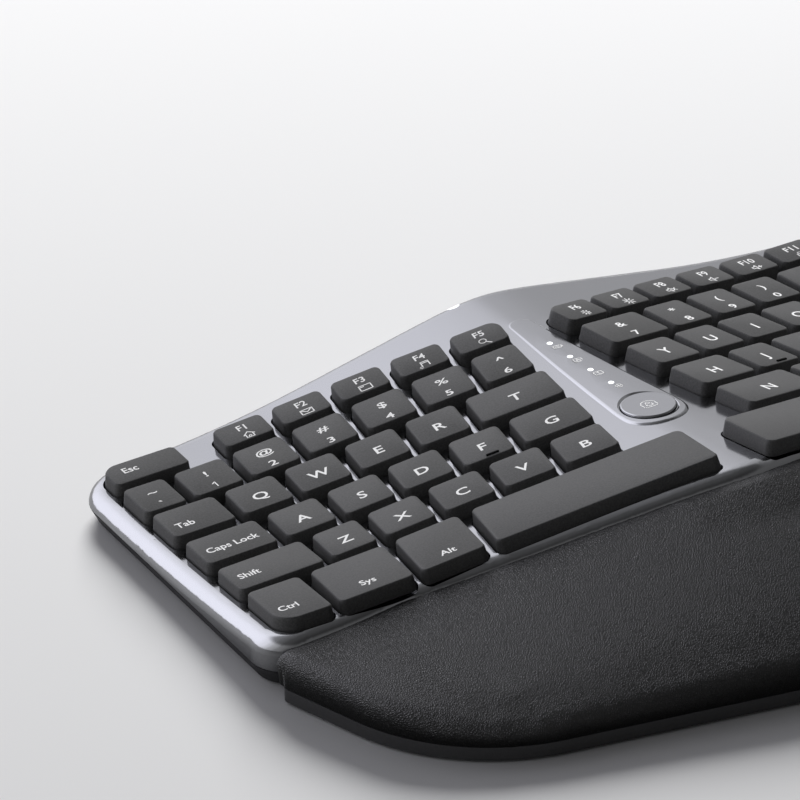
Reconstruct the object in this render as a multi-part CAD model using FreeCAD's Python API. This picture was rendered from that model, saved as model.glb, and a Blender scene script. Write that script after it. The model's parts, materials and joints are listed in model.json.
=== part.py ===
import FreeCAD, Part
import math
import os

# Ergonomic keyboard: two splayed, tented key fields in one case with a padded palm rest.
# X runs to the right, Y away from the user, Z up. The origin is on the desk, midway
# between the two key fields, under the line of the indicator lights.
os.makedirs("parts", exist_ok=True)
V = FreeCAD.Vector

# Key spacing and the plan of the key rows
PITCH = 19.0            # key spacing along and across the rows
SPLAY_IN = 11.8         # rows turn clockwise by this much at the inner columns, degrees
SPLAY_OUT = 3.5         # and by this much at the outer columns
FAN_FROM = 15.0         # the turn starts this far from a row's reference point
FAN_TO = 94.0           # and is finished here
LEFT_REF = 38.4         # reference point of the lowest letter row, left of the centre line
RIGHT_REF = 50.9        # the same for the right half
FUNCTION_STEP = 16.9    # from the number row to the function row
BOTTOM_STEP = 23.4      # from the lowest letter row to the bottom row
WEDGE = 3.4             # slant of the keys' inner edges beside the centre panel, degrees
SPACE_WEDGE = 9.3       # slant of the space bars' inner ends, degrees

# Shape of the top surface
TENT_IN = 0.191         # rise per millimetre towards the centre, inner columns
TENT_OUT = 0.0175       # the same at the outer ends
TENT_FROM = 52.6        # the slope starts to fade here, measured outwards
TENT_TO = 119.0         # and is steady again here
TENT_AXIS = 30.0        # the distances above start this far from the centre line
BACK_FALL = 0.035       # the surface falls towards the back by this much per millimetre
DISH_RADIUS = 1000.0    # hollow of the rows from front to back
DISH_MIDDLE = 28.5      # the hollow is centred this far behind the lowest letter row's middle line
SPINE_BLEND = 2.2       # rounding height where the two halves meet
AXIS_HEIGHT = 27.9      # cover height at the tent axis

# Keycaps
FACE = 15.74            # width and depth of a normal key's top face
FUNCTION_FACE = 11.2    # depth of the function row's faces
BOTTOM_FACE = 22.6      # depth of the bottom row's faces
CAP_RISE = 4.2          # cap top above the cover
CAP_SINK = 0.6          # cap rim below the cover surface at rest
CAP_FLARE = 0.55        # the rim is this much wider than the face, each side
CAP_EDGE = 0.5          # softened edge of the face
CAP_WALL = 1.1
CAP_ROOF = 1.3
CAP_CORNER = 1.9
OPENING_GAP = 0.5       # from the cap's rim to its opening in the cover
TRAVEL = 1.8            # key stroke
STEM_RADIUS = 2.2
STEM_FIT = 0.06         # running clearance of a stem in its guide
LONG_KEY = 30.0         # keys longer than this have a guide stem at each end as well
STEM_FROM_END = 9.0

# Layers under the cover, measured straight down from the cover surface
COVER_THICK = 2.6
PLATE_GAP = 0.6         # cover to guide plate
LAYER_GAP = 0.2
PLATE_THICK = 0.8
STEM_CLEAR = 0.15       # stem end to dome top, and to the mat at full stroke
MAT_THICK = 0.3
MEMBRANE_THICK = 0.3
BACK_PLATE_THICK = 0.5
DOME_RADIUS = 4.2
DOME_TOP_RADIUS = 2.4
DOME_ROOT = 0.6         # a dome's cone is drawn from this far below the mat
LAYER_INNER = 4.0       # inner edge of the layers from the centre line
LAYER_REAR = 10.1       # the layers' rear edge inside the case's rear edge
LAYER_SIDE = 8.8        # and their outer edge inside the case's side
LAYER_FRONT = 4.4
LAYER_CORNER = 6.0

# Case
SIDE_LEFT = 148.4       # side of the cover left of the centre line, at Y = 0
SIDE_RIGHT = 176.0
REAR = 99.6
FRONT_LEFT_Y = -24.0
FRONT_BEND = 106.0      # the front edge is square to here, then runs forward to the middle
FRONT_BEND_Y = -25.0
FRONT_MIDDLE_Y = -50.0
REAR_CORNER = 16.0
FRONT_CORNER = 12.0
FRONT_BEND_RADIUS = 60.0
FRONT_MIDDLE_RADIUS = 40.0
COVER_WALL = 2.2
BAND_RADIUS = 5.0       # rounded band round the cover's edge
SEAM = 5.6              # top of the bottom case
SEAM_GAP = 0.25
FOOT = 0.8              # rubber feet lift the case by this much
FLOOR = 1.4
CASE_WALL = 2.0
CASE_TUCK = 2.4         # the bottom case draws in by this much towards the desk

# Palm rest
PALM_SIDE_IN = 0.8      # palm rest's back corner, inside the cover's front corner
PALM_NOSE_LEFT = 131.8
PALM_NOSE_Y = -87.8
PALM_MIDDLE_Y = -116.8
PALM_NOSE_RADIUS = 58.0
PALM_MIDDLE_RADIUS = 150.0
PALM_GAP = 0.4
PALM_BACK = 1.0         # palm rest's back corner in front of the cover's, besides the gap
PALM_CORNER = 3.0
PALM_RIM = 5.0          # top of the palm rest base's rim
PAD_THICK = 7.0
PAD_BACK_DROP = 1.0     # pad top below the cover surface along the joint
PAD_FRONT_LEFT = 10.0   # height of the pad's front, before its rounded edge, at the noses
PAD_FRONT_MIDDLE = 15.0
PAD_CROWN = 2.0         # swell of the pad between its back and its front
PAD_ROLL = 4.5          # rounded outer edge of the pad

# Centre panel
PANEL_RISE = 0.5        # the panel stands this far above the keys' surface beside the button
PANEL_FADE_Y = 95.0     # and would meet it here
PANEL_ROUND = 1.2       # rounding of the panel's edge
PANEL_STEPS = (10, 16)
PANEL_REAR = (4.3, 78.0)        # half width of the panel and its Y, at the rear
PANEL_FRONT = (10.6, 8.0)       # and beside the button
PANEL_END = 3.2         # the panel's edge runs this far outside the button's ring
BUTTON_Y = 7.0
BUTTON_RADIUS = 8.3
BUTTON_GAP = 0.3
BUTTON_RISE = 0.3
BUTTON_THICK = 2.4
BUTTON_TRAVEL = 1.2
BUTTON_STEM = 3.0
RING_RADIUS = 9.3
RING_FLARE = 0.5        # the sunken ring round the button opens this much wider at the surface
RING_LEDGE = 0.15       # width of the ring's floor
RING_DEPTH = 0.55
LIGHT_FIRST_Y = 26.4
LIGHT_STEP = 10.85
LIGHT_COUNT = 4
LIGHT_RADIUS = 0.9
LIGHT_FIT = 0.05
RIM_LIGHT = (-9.5, 97.8, 2.3)   # X, Y and radius of the light in the rear rim
RIM_LIGHT_DEEP = 3.5

# Heights used to build: above every piece, and below the desk
SKY = 60.0
DEEP = 80.0

# Free-form surfaces: how far they run past the case, and their steps across and along
SURFACE_OVER = 20.0
COVER_STEPS = (46, 10)
PAD_STEPS = (42, 12)

# Electronics
BOARD_WIDE = 26.0
BOARD_FRONT = -1.0
BOARD_REAR_GAP = 5.1    # board's rear edge inside the case's rear edge
BOARD_THICK = 1.6
BOARD_TOP = 14.0
BOARD_WING = (29.0, 8.0)        # the board widens to this X over this depth at its rear, for the switch
BOARD_POST_IN = 3.0     # board posts from the board's sides
BOARD_POST_Y = (14.0, 84.0)
LAMP = (2.0, 1.2, 0.6)  # light source under each lens
CHIPS = [(-7.0, 43.0, 9.0, 9.0), (5.0, 70.0, 6.0, 5.0), (-6.0, 26.0, 5.0, 7.0)]
CHIP_HIGH = 1.0
BATTERY = (70.0, 38.0, 5.0)
BATTERY_AT = (-60.0, 22.0)
SOCKET = (8.9, 7.3, 3.2)
SOCKET_WALL = 0.35
SOCKET_INSET = 0.3      # the socket's mouth lies this far inside the rear face
SOCKET_GAP = 0.15
TONGUE_IN = 1.6         # the socket's tongue from its sides
TONGUE_THICK = 0.7
SWITCH_X = 21.0
SWITCH_NUB = (3.6, 2.2)         # width and height of the power switch's nub
SWITCH_FLANGE = (8.0, 1.1, 3.6)
SWITCH_STROKE = 3.0
SWITCH_PROUD = 0.7
SWITCH_GAP = 0.15

# Fasteners and feet
SCREW_RADIUS = 1.0
SCREW_FIT = 0.05
SCREW_HEAD_RADIUS = 1.9
SCREW_HEAD = 0.5
SCREW_BITE = 8.0        # most that a screw reaches into its boss
SCREW_END = 0.4         # room beyond a screw's end
BOSS_RADIUS = 2.4
BOSS_INSET = 5.6        # boss centres from the case's outline
REAR_BOSSES = (-118.0, -36.0, 36.0, 118.0)
SIDE_BOSS_Y = 22.0
TAB_X = (-80.0, -28.0, 28.0, 80.0)
TAB_WIDE = 12.0
TAB_REACH = 12.0        # the palm rest's tabs reach this far behind the case's front edge
TAB_ROOT = 5.0
TAB_THICK = 2.0
TAB_SCREW = 9.0
TAB_FIT = 0.15
FOOT_RADIUS = 5.0
FOOT_INSET = 13.0       # from the case's corners
PALM_FOOT_RADIUS = 3.4
PALM_FOOT_INSET = 4.6
PLATEAU_IN = 6.0        # the palm rest's core lies this far inside its rim
BASE_WALL = 2.5
PALM_FLOOR_IN = 5.0     # the palm rest's floor plate lies this far inside its rim
PALM_FLOOR_THICK = 1.2
PALM_FLOOR_FIT = 0.15
PAD_SEAT = 0.2          # pad to base


def save(name, shape):
    shape.exportStep("parts/" + name + ".step")
    print(name, len(shape.Solids), round(shape.Volume, 1), shape.isValid())


# Plan of the rows and height of the top surface
def row_angle(s):
    """Heading of a row, s millimetres outwards from its reference point, in radians."""
    share = min(max((s - FAN_FROM) / (FAN_TO - FAN_FROM), 0.0), 1.0)
    return math.radians(SPLAY_IN + (SPLAY_OUT - SPLAY_IN) * share)


def row_point(s):
    """Plan offset of the point s outwards along a row from its reference point."""
    steps = max(1, int(abs(s) / 2.0))
    x = y = 0.0
    for i in range(steps):
        a = row_angle(s * (i + 0.5) / steps)
        x -= math.cos(a) * s / steps
        y += math.sin(a) * s / steps
    return x, y


def tent_fall(s):
    """Height lost between the tent axis and a place s outwards of it."""
    span = TENT_TO - TENT_FROM
    bend = min(max(s - TENT_FROM, 0.0), span)
    fall = TENT_IN * min(s, TENT_FROM) + TENT_IN * bend
    fall += (TENT_OUT - TENT_IN) * bend * bend / (2 * span)
    return fall + TENT_OUT * max(s - TENT_TO, 0.0)


def wing_height(x, y):
    """Cover height over the left half, carried on past the centre line."""
    a = math.radians(SPLAY_IN)
    u = (x + TENT_AXIS) * math.cos(a) - y * math.sin(a)
    v = (x + TENT_AXIS) * math.sin(a) + y * math.cos(a) - DISH_MIDDLE
    return AXIS_HEIGHT - tent_fall(-u) - BACK_FALL * v + v * v / (2 * DISH_RADIUS)


def cover_height(x, y):
    """The lower of the two wings, blended over the spine."""
    left, right = wing_height(x, y), wing_height(-x, y)
    low, apart = min(left, right), abs(left - right)
    return low - SPINE_BLEND * math.log(1 + math.exp(-apart / SPINE_BLEND))


def panel_height(x, y):
    """Top of the centre panel, which rises out of the cover towards the button."""
    return cover_height(x, y) + PANEL_RISE * (PANEL_FADE_Y - y) / (PANEL_FADE_Y - BUTTON_Y)


def pad_height(x, y):
    """Top of the palm pad: level with the cover's front edge, falling and crowned to the front."""
    edge = front_edge_y(x)
    back = cover_height(x, edge) - PAD_BACK_DROP
    reach = edge - palm_front_y(x)
    share = (edge - y) / reach
    front = PAD_FRONT_MIDDLE + (PAD_FRONT_LEFT - PAD_FRONT_MIDDLE) * soft_share(x, PALM_NOSE_LEFT)
    crown = PAD_CROWN * math.sin(math.pi * min(max(share, 0.0), 1.0))
    return back + (front - back) * share + crown


def soft_share(x, reach, softness=12.0):
    """Grows from 0 at the centre line to 1 at a distance of reach, with its corners rounded."""
    near = math.sqrt(x * x + softness * softness) - softness
    over = near - reach
    return (near - (over + math.sqrt(over * over + softness * softness)) / 2) / reach


def palm_front_y(x):
    """The palm rest's front edge, without its rounded noses."""
    return PALM_MIDDLE_Y + (PALM_NOSE_Y - PALM_MIDDLE_Y) * soft_share(x, PALM_NOSE_LEFT)


def front_edge_y(x):
    """The cover's front edge, with its bends rounded."""
    return FRONT_MIDDLE_Y + (FRONT_BEND_Y - FRONT_MIDDLE_Y) * soft_share(x, FRONT_BEND)


def surface(height, across, along):
    """Free-form face through a height function, over (from, to, steps) in X and in Y."""
    x0, x1, nx = across
    y0, y1, ny = along
    rows = []
    for i in range(nx + 1):
        x = x0 + (x1 - x0) * i / nx
        line = []
        for j in range(ny + 1):
            y = y0 + (y1 - y0) * j / ny
            line.append(V(x, y, height(x, y)))
        rows.append(line)
    s = Part.BSplineSurface()
    s.interpolate(rows)
    return s.toShape()


# Wires with rounded corners
def grown(points, radii, grow):
    """Moves every side of a counter-clockwise polygon outwards, and its corner radii with it."""
    n = len(points)
    out, rad = [], []
    for i in range(n):
        (ax, ay), (bx, by), (cx, cy) = points[i - 1], points[i], points[(i + 1) % n]
        l1, l2 = math.hypot(bx - ax, by - ay), math.hypot(cx - bx, cy - by)
        n1, n2 = ((by - ay) / l1, (ax - bx) / l1), ((cy - by) / l2, (bx - cx) / l2)
        k = 1 + n1[0] * n2[0] + n1[1] * n2[1]
        out.append((bx + grow * (n1[0] + n2[0]) / k, by + grow * (n1[1] + n2[1]) / k))
        convex = (bx - ax) * (cy - by) - (by - ay) * (cx - bx) > 0
        rad.append(max(radii[i] + (grow if convex else -grow), 0.3))
    return out, rad


def rounded_wire(points, radii, place):
    """Closed wire through a polygon with arcs at its corners; place maps (x, y) to space."""
    n = len(points)
    ends = []
    for i in range(n):
        (ax, ay), (bx, by), (cx, cy) = points[i - 1], points[i], points[(i + 1) % n]
        l1, l2 = math.hypot(ax - bx, ay - by), math.hypot(cx - bx, cy - by)
        u1, u2 = ((ax - bx) / l1, (ay - by) / l1), ((cx - bx) / l2, (cy - by) / l2)
        half = math.acos(max(-1.0, min(1.0, u1[0] * u2[0] + u1[1] * u2[1]))) / 2
        cut = radii[i] / math.tan(half)
        reach = radii[i] / math.sin(half)
        mx, my = u1[0] + u2[0], u1[1] + u2[1]
        m = math.hypot(mx, my)
        near = reach - radii[i]
        ends.append(((bx + u1[0] * cut, by + u1[1] * cut),
                     (bx + mx / m * near, by + my / m * near),
                     (bx + u2[0] * cut, by + u2[1] * cut)))
    edges = []
    for i in range(n):
        a, m, b = (place(*p) for p in ends[i])
        edges.append(Part.Arc(a, m, b).toShape())
        c = place(*ends[(i + 1) % n][0])
        edges.append(Part.LineSegment(b, c).toShape())
    return Part.Wire(edges)


def flat(z):
    return lambda x, y: V(x, y, z)


def prism(points, radii, z0, z1, grow=0.0):
    pts, rad = grown(points, radii, grow)
    return Part.Face(rounded_wire(pts, rad, flat(z0))).extrude(V(0, 0, z1 - z0))


def tapered(points, radii, z0, grow0, z1, grow1):
    wires = []
    for z, grow in ((z0, grow0), (z1, grow1)):
        pts, rad = grown(points, radii, grow)
        wires.append(rounded_wire(pts, rad, flat(z)))
    return Part.makeLoft(wires, True, True)


def under(face):
    """Solid below a top surface."""
    return face.extrude(V(0, 0, -DEEP))


def lowered(shape, drop):
    moved = shape.copy()
    moved.translate(V(0, 0, -drop))
    return moved


# Key layout. Each row gives its keys outwards from the centre as (name, inner, outer),
# where inner and outer are face edges along the row from the row's reference point.
GAP = PITCH - FACE


def run_of(names, start, pitch=PITCH, face=FACE):
    keys = []
    for i, name in enumerate(names):
        inner = start + i * pitch + (pitch - face) / 2
        keys.append((name, inner, inner + face))
    return keys


LEFT_ROWS = {
    "function": dict(shift=-2.2, keys=run_of(["f5", "f4", "f3", "f2", "f1"], -17.9)
                     + [("escape", 87.9, 112.2)]),
    "number": dict(shift=-2.2, keys=[("6", -16.2, -GAP / 2)] + run_of(["5", "4", "3", "2", "1"], 0.0)
                   + [("grave", 96.6, 109.9)]),
    "top_letter": dict(shift=-11.5, keys=[("t", -27.6, -GAP / 2)] + run_of(["r", "e", "w", "q"], 0.0)
                       + [("tab", 77.6, 97.6)]),
    "home_letter": dict(shift=-5.3, keys=[("g", -22.7, -GAP / 2)] + run_of(["f", "d", "s", "a"], 0.0)
                        + [("caps_lock", 77.9, 100.6)]),
    "lower_letter": dict(shift=0.0, keys=[("b", -17.9, -GAP / 2)] + run_of(["v", "c", "x"], 0.0)
                         + [("z", 58.6, 72.8), ("left_shift", 75.9, 103.1)]),
    "bottom": dict(shift=-12.4, keys=[("left_space", -49.2, 18.8), ("left_alt", 22.0, 41.9),
                                      ("system", 44.8, 68.0), ("left_control", 71.1, 87.7)]),
}
RIGHT_ROWS = {
    "function": dict(shift=-2.2,
                     keys=run_of(["f6", "f7", "f8", "f9", "f10", "f11", "f12"], -31.3, 18.35, 15.95)
                     + [("delete", 100.0, 124.6)]),
    "number": dict(shift=-2.2, keys=[("7", -31.1, -7.6)] + run_of(["8", "9", "0", "minus", "equals"], -6.0)
                   + [("backspace", 90.6, 124.6)]),
    "top_letter": dict(shift=-11.5, keys=[("y", -40.4, -23.3)]
                       + run_of(["u", "i", "o", "p", "bracket_left", "bracket_right"], -21.7)
                       + [("backslash", 94.0, 112.4)]),
    "home_letter": dict(shift=-5.3, keys=[("h", -35.3, -13.8)]
                        + run_of(["j", "k", "l", "semicolon", "quote"], -12.2)
                        + [("enter", 84.4, 115.8)]),
    "lower_letter": dict(shift=0.0, keys=[("n", -30.4, -1.6)] + run_of(["m", "comma", "period", "slash"], 0.0)
                         + [("right_shift", 77.6, 118.4)]),
    "bottom": dict(shift=-12.4, keys=[("right_space", -62.7, 3.3), ("right_alt", 6.5, 26.4),
                                      ("right_control", 29.3, 49.2), ("arrow_left", 52.4, 66.4),
                                      ("arrow_down", 69.6, 83.6), ("arrow_up", 69.6, 83.6),
                                      ("arrow_right", 86.8, 100.8)]),
}
BIG_CORNERS = {"escape": (2, 5.0), "left_control": (3, 6.5), "f5": (1, 4.0), "f6": (1, 4.0),
               "delete": (2, 5.0), "arrow_right": (3, 6.5), "left_space": (1, 3.0), "right_space": (1, 3.0)}


class Key:
    """A key's place: face corners counter-clockwise from the front inner one, and its frame."""

    def __init__(self, name, row, inner, outer, right):
        self.name, self.row, self.right = name, row, right
        data = (RIGHT_ROWS if right else LEFT_ROWS)[row]
        a = math.radians(SPLAY_IN)
        across = {"lower_letter": 0.0, "home_letter": PITCH, "top_letter": 2 * PITCH, "number": 3 * PITCH,
                  "function": 3 * PITCH + FUNCTION_STEP, "bottom": -BOTTOM_STEP}[row]
        depth = {"function": FUNCTION_FACE, "bottom": BOTTOM_FACE}.get(row, FACE)
        mid = (inner + outer) / 2
        x, y = row_point(mid)
        ref = RIGHT_REF if right else LEFT_REF
        x += -ref + data["shift"] * math.cos(a) + across * math.sin(a)
        y += -data["shift"] * math.sin(a) + across * math.cos(a)
        if name in ("arrow_up", "arrow_down"):
            depth = (BOTTOM_FACE - GAP) / 2
            side = 1 if name == "arrow_up" else -1
            x += side * (depth + GAP) / 2 * math.sin(a)
            y += side * (depth + GAP) / 2 * math.cos(a)
        angle = row_angle(mid)
        slope_x, slope_y = slopes(wing_height, x, y)
        tx, ty = math.cos(angle), -math.sin(angle)
        self.along = V(tx, ty, slope_x * tx + slope_y * ty).normalize()
        back = V(-ty, tx, slope_x * -ty + slope_y * tx)
        self.back = (back - self.along * back.dot(self.along)).normalize()
        self.axis = self.along.cross(self.back)
        top = V(x, y, wing_height(x, y) + CAP_RISE)
        self.origin = top - self.axis * CAP_RISE
        if right:
            for v in (self.along, self.back, self.axis, self.origin):
                v.x = -v.x
        self.slide = self.axis
        half, deep = (outer - inner) / 2, depth / 2
        slant = 0.0
        if inner < -GAP and row in ("number", "top_letter", "home_letter", "lower_letter"):
            slant = math.tan(math.radians(WEDGE))
        if name in ("left_space", "right_space"):
            slant = math.tan(math.radians(SPACE_WEDGE))
        # in the key's own plane: x towards the centre, y to the back
        self.face = [(half + slant * deep, -deep), (half - slant * deep, deep), (-half, deep), (-half, -deep)]
        self.radii = [CAP_CORNER] * 4
        if name in BIG_CORNERS:
            corner, radius = BIG_CORNERS[name]
            self.radii[corner] = radius
        self.length = outer - inner
        reach = self.length / 2 - STEM_FROM_END
        self.stems = [0.0, reach, -reach] if self.length > LONG_KEY else [0.0]

    def at(self, x, y, z):
        return self.origin + self.along * x + self.back * y + self.axis * z

    def section(self, z, grow):
        pts, rad = grown(self.face, self.radii, grow)
        return rounded_wire(pts, rad, lambda x, y: self.at(x, y, z))

    def block(self, *sections):
        return Part.makeLoft([self.section(z, grow) for z, grow in sections], True, True)

    def on_stem(self, x, z):
        """A point on a stem's centre line, z above the cover surface."""
        root = self.at(x, 0, STEM_ROOT)
        return root - self.slide * (STEM_ROOT - z)

    def post(self, x, radius, z0, z1):
        return Part.makeCylinder(radius, z1 - z0, self.on_stem(x, z0), self.slide)


def slopes(height, x, y, step=0.5):
    across = (height(x + step, y) - height(x - step, y)) / (2 * step)
    along = (height(x, y + step) - height(x, y - step)) / (2 * step)
    return across, along


def left_keys():
    keys = []
    for row, data in LEFT_ROWS.items():
        keys += [Key(name, row, inner, outer, False) for name, inner, outer in data["keys"]]
    return keys


def right_groups():
    """The right half's keys by node. Each group moves along one axis, the mean of its keys' axes."""
    groups = {}
    for row, data in RIGHT_ROWS.items():
        for name, inner, outer in data["keys"]:
            node = "right_space_bar" if name == "right_space" else "right_" + row + "_keys"
            groups.setdefault(node, []).append(Key(name, row, inner, outer, True))
    for keys in groups.values():
        total = V(0, 0, 0)
        for key in keys:
            total = total + key.axis
        for key in keys:
            key.slide = V(total).normalize()
    return groups


def node_name(key):
    return "left_space_bar" if key.name == "left_space" else "key_" + key.name


STEM_ROOT = CAP_RISE - CAP_ROOF + 0.4
PLATE_TOP = COVER_THICK + PLATE_GAP
PLATE_BOTTOM = PLATE_TOP + PLATE_THICK
STEM_END = PLATE_BOTTOM + LAYER_GAP
MAT_TOP = STEM_END + TRAVEL + STEM_CLEAR
MAT_BOTTOM = MAT_TOP + MAT_THICK
MEMBRANE_TOP = MAT_BOTTOM + LAYER_GAP / 2
MEMBRANE_BOTTOM = MEMBRANE_TOP + MEMBRANE_THICK
BACK_TOP = MEMBRANE_BOTTOM + LAYER_GAP / 2
BACK_BOTTOM = BACK_TOP + BACK_PLATE_THICK


def keycap(key):
    body = key.block((-CAP_SINK, CAP_FLARE), (CAP_RISE - CAP_EDGE, 0.1), (CAP_RISE, -0.25))
    hollow = key.block((-CAP_SINK - 1, CAP_FLARE - CAP_WALL), (CAP_RISE - CAP_ROOF, -CAP_WALL))
    cap = body.cut(hollow)
    posts = [key.post(x, STEM_RADIUS, -STEM_END, STEM_ROOT) for x in key.stems]
    return cap.fuse(posts).removeSplitter()


# Outlines in plan, counter-clockwise
def side_x(y, right):
    reach = (SIDE_RIGHT if right else SIDE_LEFT) - y * math.tan(math.radians(SPLAY_OUT))
    return reach if right else -reach


CASE_OUTLINE = [(side_x(REAR, False), REAR), (side_x(FRONT_LEFT_Y, False), FRONT_LEFT_Y),
                (-FRONT_BEND, FRONT_BEND_Y), (0.0, FRONT_MIDDLE_Y), (FRONT_BEND, FRONT_BEND_Y),
                (side_x(FRONT_LEFT_Y, True), FRONT_LEFT_Y), (side_x(REAR, True), REAR)]
CASE_CORNERS = [REAR_CORNER, FRONT_CORNER, FRONT_BEND_RADIUS, FRONT_MIDDLE_RADIUS, FRONT_BEND_RADIUS,
                FRONT_CORNER, REAR_CORNER]


def palm_outline():
    left = side_x(FRONT_LEFT_Y, False) + PALM_SIDE_IN
    right = side_x(FRONT_LEFT_Y, True) - PALM_SIDE_IN
    nose_right = PALM_NOSE_LEFT + SIDE_RIGHT - SIDE_LEFT
    gap = PALM_GAP
    back = FRONT_LEFT_Y - PALM_BACK - gap
    points = [(left, back), (-PALM_NOSE_LEFT, PALM_NOSE_Y), (0.0, PALM_MIDDLE_Y), (nose_right, PALM_NOSE_Y),
              (right, back), (FRONT_BEND, FRONT_BEND_Y - gap), (0.0, FRONT_MIDDLE_Y - gap),
              (-FRONT_BEND, FRONT_BEND_Y - gap)]
    radii = [PALM_CORNER, PALM_NOSE_RADIUS, PALM_MIDDLE_RADIUS, PALM_NOSE_RADIUS, PALM_CORNER,
             FRONT_BEND_RADIUS, FRONT_MIDDLE_RADIUS - gap, FRONT_BEND_RADIUS]
    return points, radii


def corner_place(points, radii, index, inset):
    """A point inside a rounded corner, inset from the middle of its arc."""
    n = len(points)
    (ax, ay), (bx, by), (cx, cy) = points[index - 1], points[index], points[(index + 1) % n]
    l1, l2 = math.hypot(ax - bx, ay - by), math.hypot(cx - bx, cy - by)
    mx, my = (ax - bx) / l1 + (cx - bx) / l2, (ay - by) / l1 + (cy - by) / l2
    m = math.hypot(mx, my)
    half = math.acos(m / 2)
    near = radii[index] / math.sin(half) - radii[index] + inset
    return bx + mx / m * near, by + my / m * near


def crown_face(shape):
    """The face of a block that is its free-form top."""
    free = [f for f in shape.Faces if f.Surface.TypeId == "Part::GeomBSplineSurface"]
    return max(free, key=lambda f: f.Area)


# The case's shells
def cover_surface():
    across = (-SIDE_LEFT - SURFACE_OVER, SIDE_RIGHT + SURFACE_OVER, COVER_STEPS[0])
    along = (FRONT_MIDDLE_Y - SURFACE_OVER, REAR + SURFACE_OVER, COVER_STEPS[1])
    return surface(cover_height, across, along)


def pad_surface():
    across = (-SIDE_LEFT - SURFACE_OVER, SIDE_RIGHT + SURFACE_OVER, PAD_STEPS[0])
    along = (PALM_MIDDLE_Y - SURFACE_OVER, FRONT_LEFT_Y + SURFACE_OVER, PAD_STEPS[1])
    return surface(pad_height, across, along)


def cover_bosses():
    """Places of the posts that join the cover to the bottom case."""
    rear = [(x, REAR - BOSS_INSET) for x in REAR_BOSSES]
    sides = [(side_x(SIDE_BOSS_Y, False) + BOSS_INSET, SIDE_BOSS_Y),
             (side_x(SIDE_BOSS_Y, True) - BOSS_INSET, SIDE_BOSS_Y)]
    spine = [(0.0, BUTTON_Y - RING_RADIUS - BOSS_RADIUS - BOSS_INSET),
             (0.0, FRONT_MIDDLE_Y + BOSS_INSET + BOSS_RADIUS)]
    return rear + sides + spine


def bore_top(x, y):
    return min(SEAM + SCREW_BITE, cover_height(x, y) - COVER_THICK / 2)


def cylinder(x, y, radius, z0, z1):
    return Part.makeCylinder(radius, z1 - z0, V(x, y, z0))


def bore(x, y, z0, z1):
    """A screw's hole."""
    return cylinder(x, y, SCREW_RADIUS + SCREW_FIT, z0, z1)


def box(x0, x1, y0, y1, z0, z1):
    return Part.makeBox(x1 - x0, y1 - y0, z1 - z0, V(x0, y0, z0))


def panel_outline():
    """The centre panel in plan, from its rear round the button and back."""
    half, y = PANEL_REAR
    wide, front = PANEL_FRONT
    round_y = BUTTON_Y - RING_RADIUS - PANEL_END
    points = [(-half, y), (-wide, front), (-wide, round_y), (wide, round_y), (wide, front), (half, y)]
    return points, [half - 0.3, 20.0, wide - 0.8, wide - 0.8, 20.0, half - 0.3]


def panel_layer(face):
    """The panel's raised layer with its rounded edge, down to the middle of the cover's wall."""
    front, rear = BUTTON_Y - RING_RADIUS - PANEL_END, PANEL_REAR[1]
    across = (-SURFACE_OVER, SURFACE_OVER, PANEL_STEPS[0])
    top = surface(panel_height, across, (front - SURFACE_OVER, rear + SURFACE_OVER, PANEL_STEPS[1]))
    block = prism(*panel_outline(), BOARD_TOP, SKY).common(under(top))
    block = block.makeFillet(PANEL_ROUND, crown_face(block).Edges)
    return block.cut(under(lowered(face, COVER_THICK / 2)))


def lights():
    return [(0.0, LIGHT_FIRST_Y + LIGHT_STEP * i) for i in range(LIGHT_COUNT)]


class Button:
    """Place of the lock button: on the centre line, square to the panel there."""

    def __init__(self):
        slope = slopes(panel_height, 0.0, BUTTON_Y)[1]
        self.axis = V(0, -slope, 1).normalize()
        self.origin = V(0, BUTTON_Y, panel_height(0.0, BUTTON_Y))

    def disc(self, radius, z0, z1):
        return Part.makeCylinder(radius, z1 - z0, self.origin + self.axis * z0, self.axis)

    def cone(self, radius0, radius1, z0, z1):
        return Part.makeCone(radius0, radius1, z1 - z0, self.origin + self.axis * z0, self.axis)

    def stem_length(self):
        """From the surface to just above the board's push switch at full stroke, by the end's low side."""
        lean = BUTTON_STEM * abs(self.axis.y)
        top = BOARD_TOP + LAMP[2] + STEM_CLEAR + lean
        return (self.origin.z - top) / self.axis.z - BUTTON_TRAVEL


def cover_form(face):
    """The cover as a full block with its rounded band."""
    outline = prism(CASE_OUTLINE, CASE_CORNERS, SEAM + SEAM_GAP, SKY)
    block = outline.common(under(face))
    return block.makeFillet(BAND_RADIUS, crown_face(block).Edges)


def rim_light_place(grow=0.0):
    """The round light guide in the cover's rear rim; grown for its pocket."""
    x, y, radius = RIM_LIGHT
    return cylinder(x, y, radius + grow, cover_height(x, y) - RIM_LIGHT_DEEP - grow, SKY)


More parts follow.
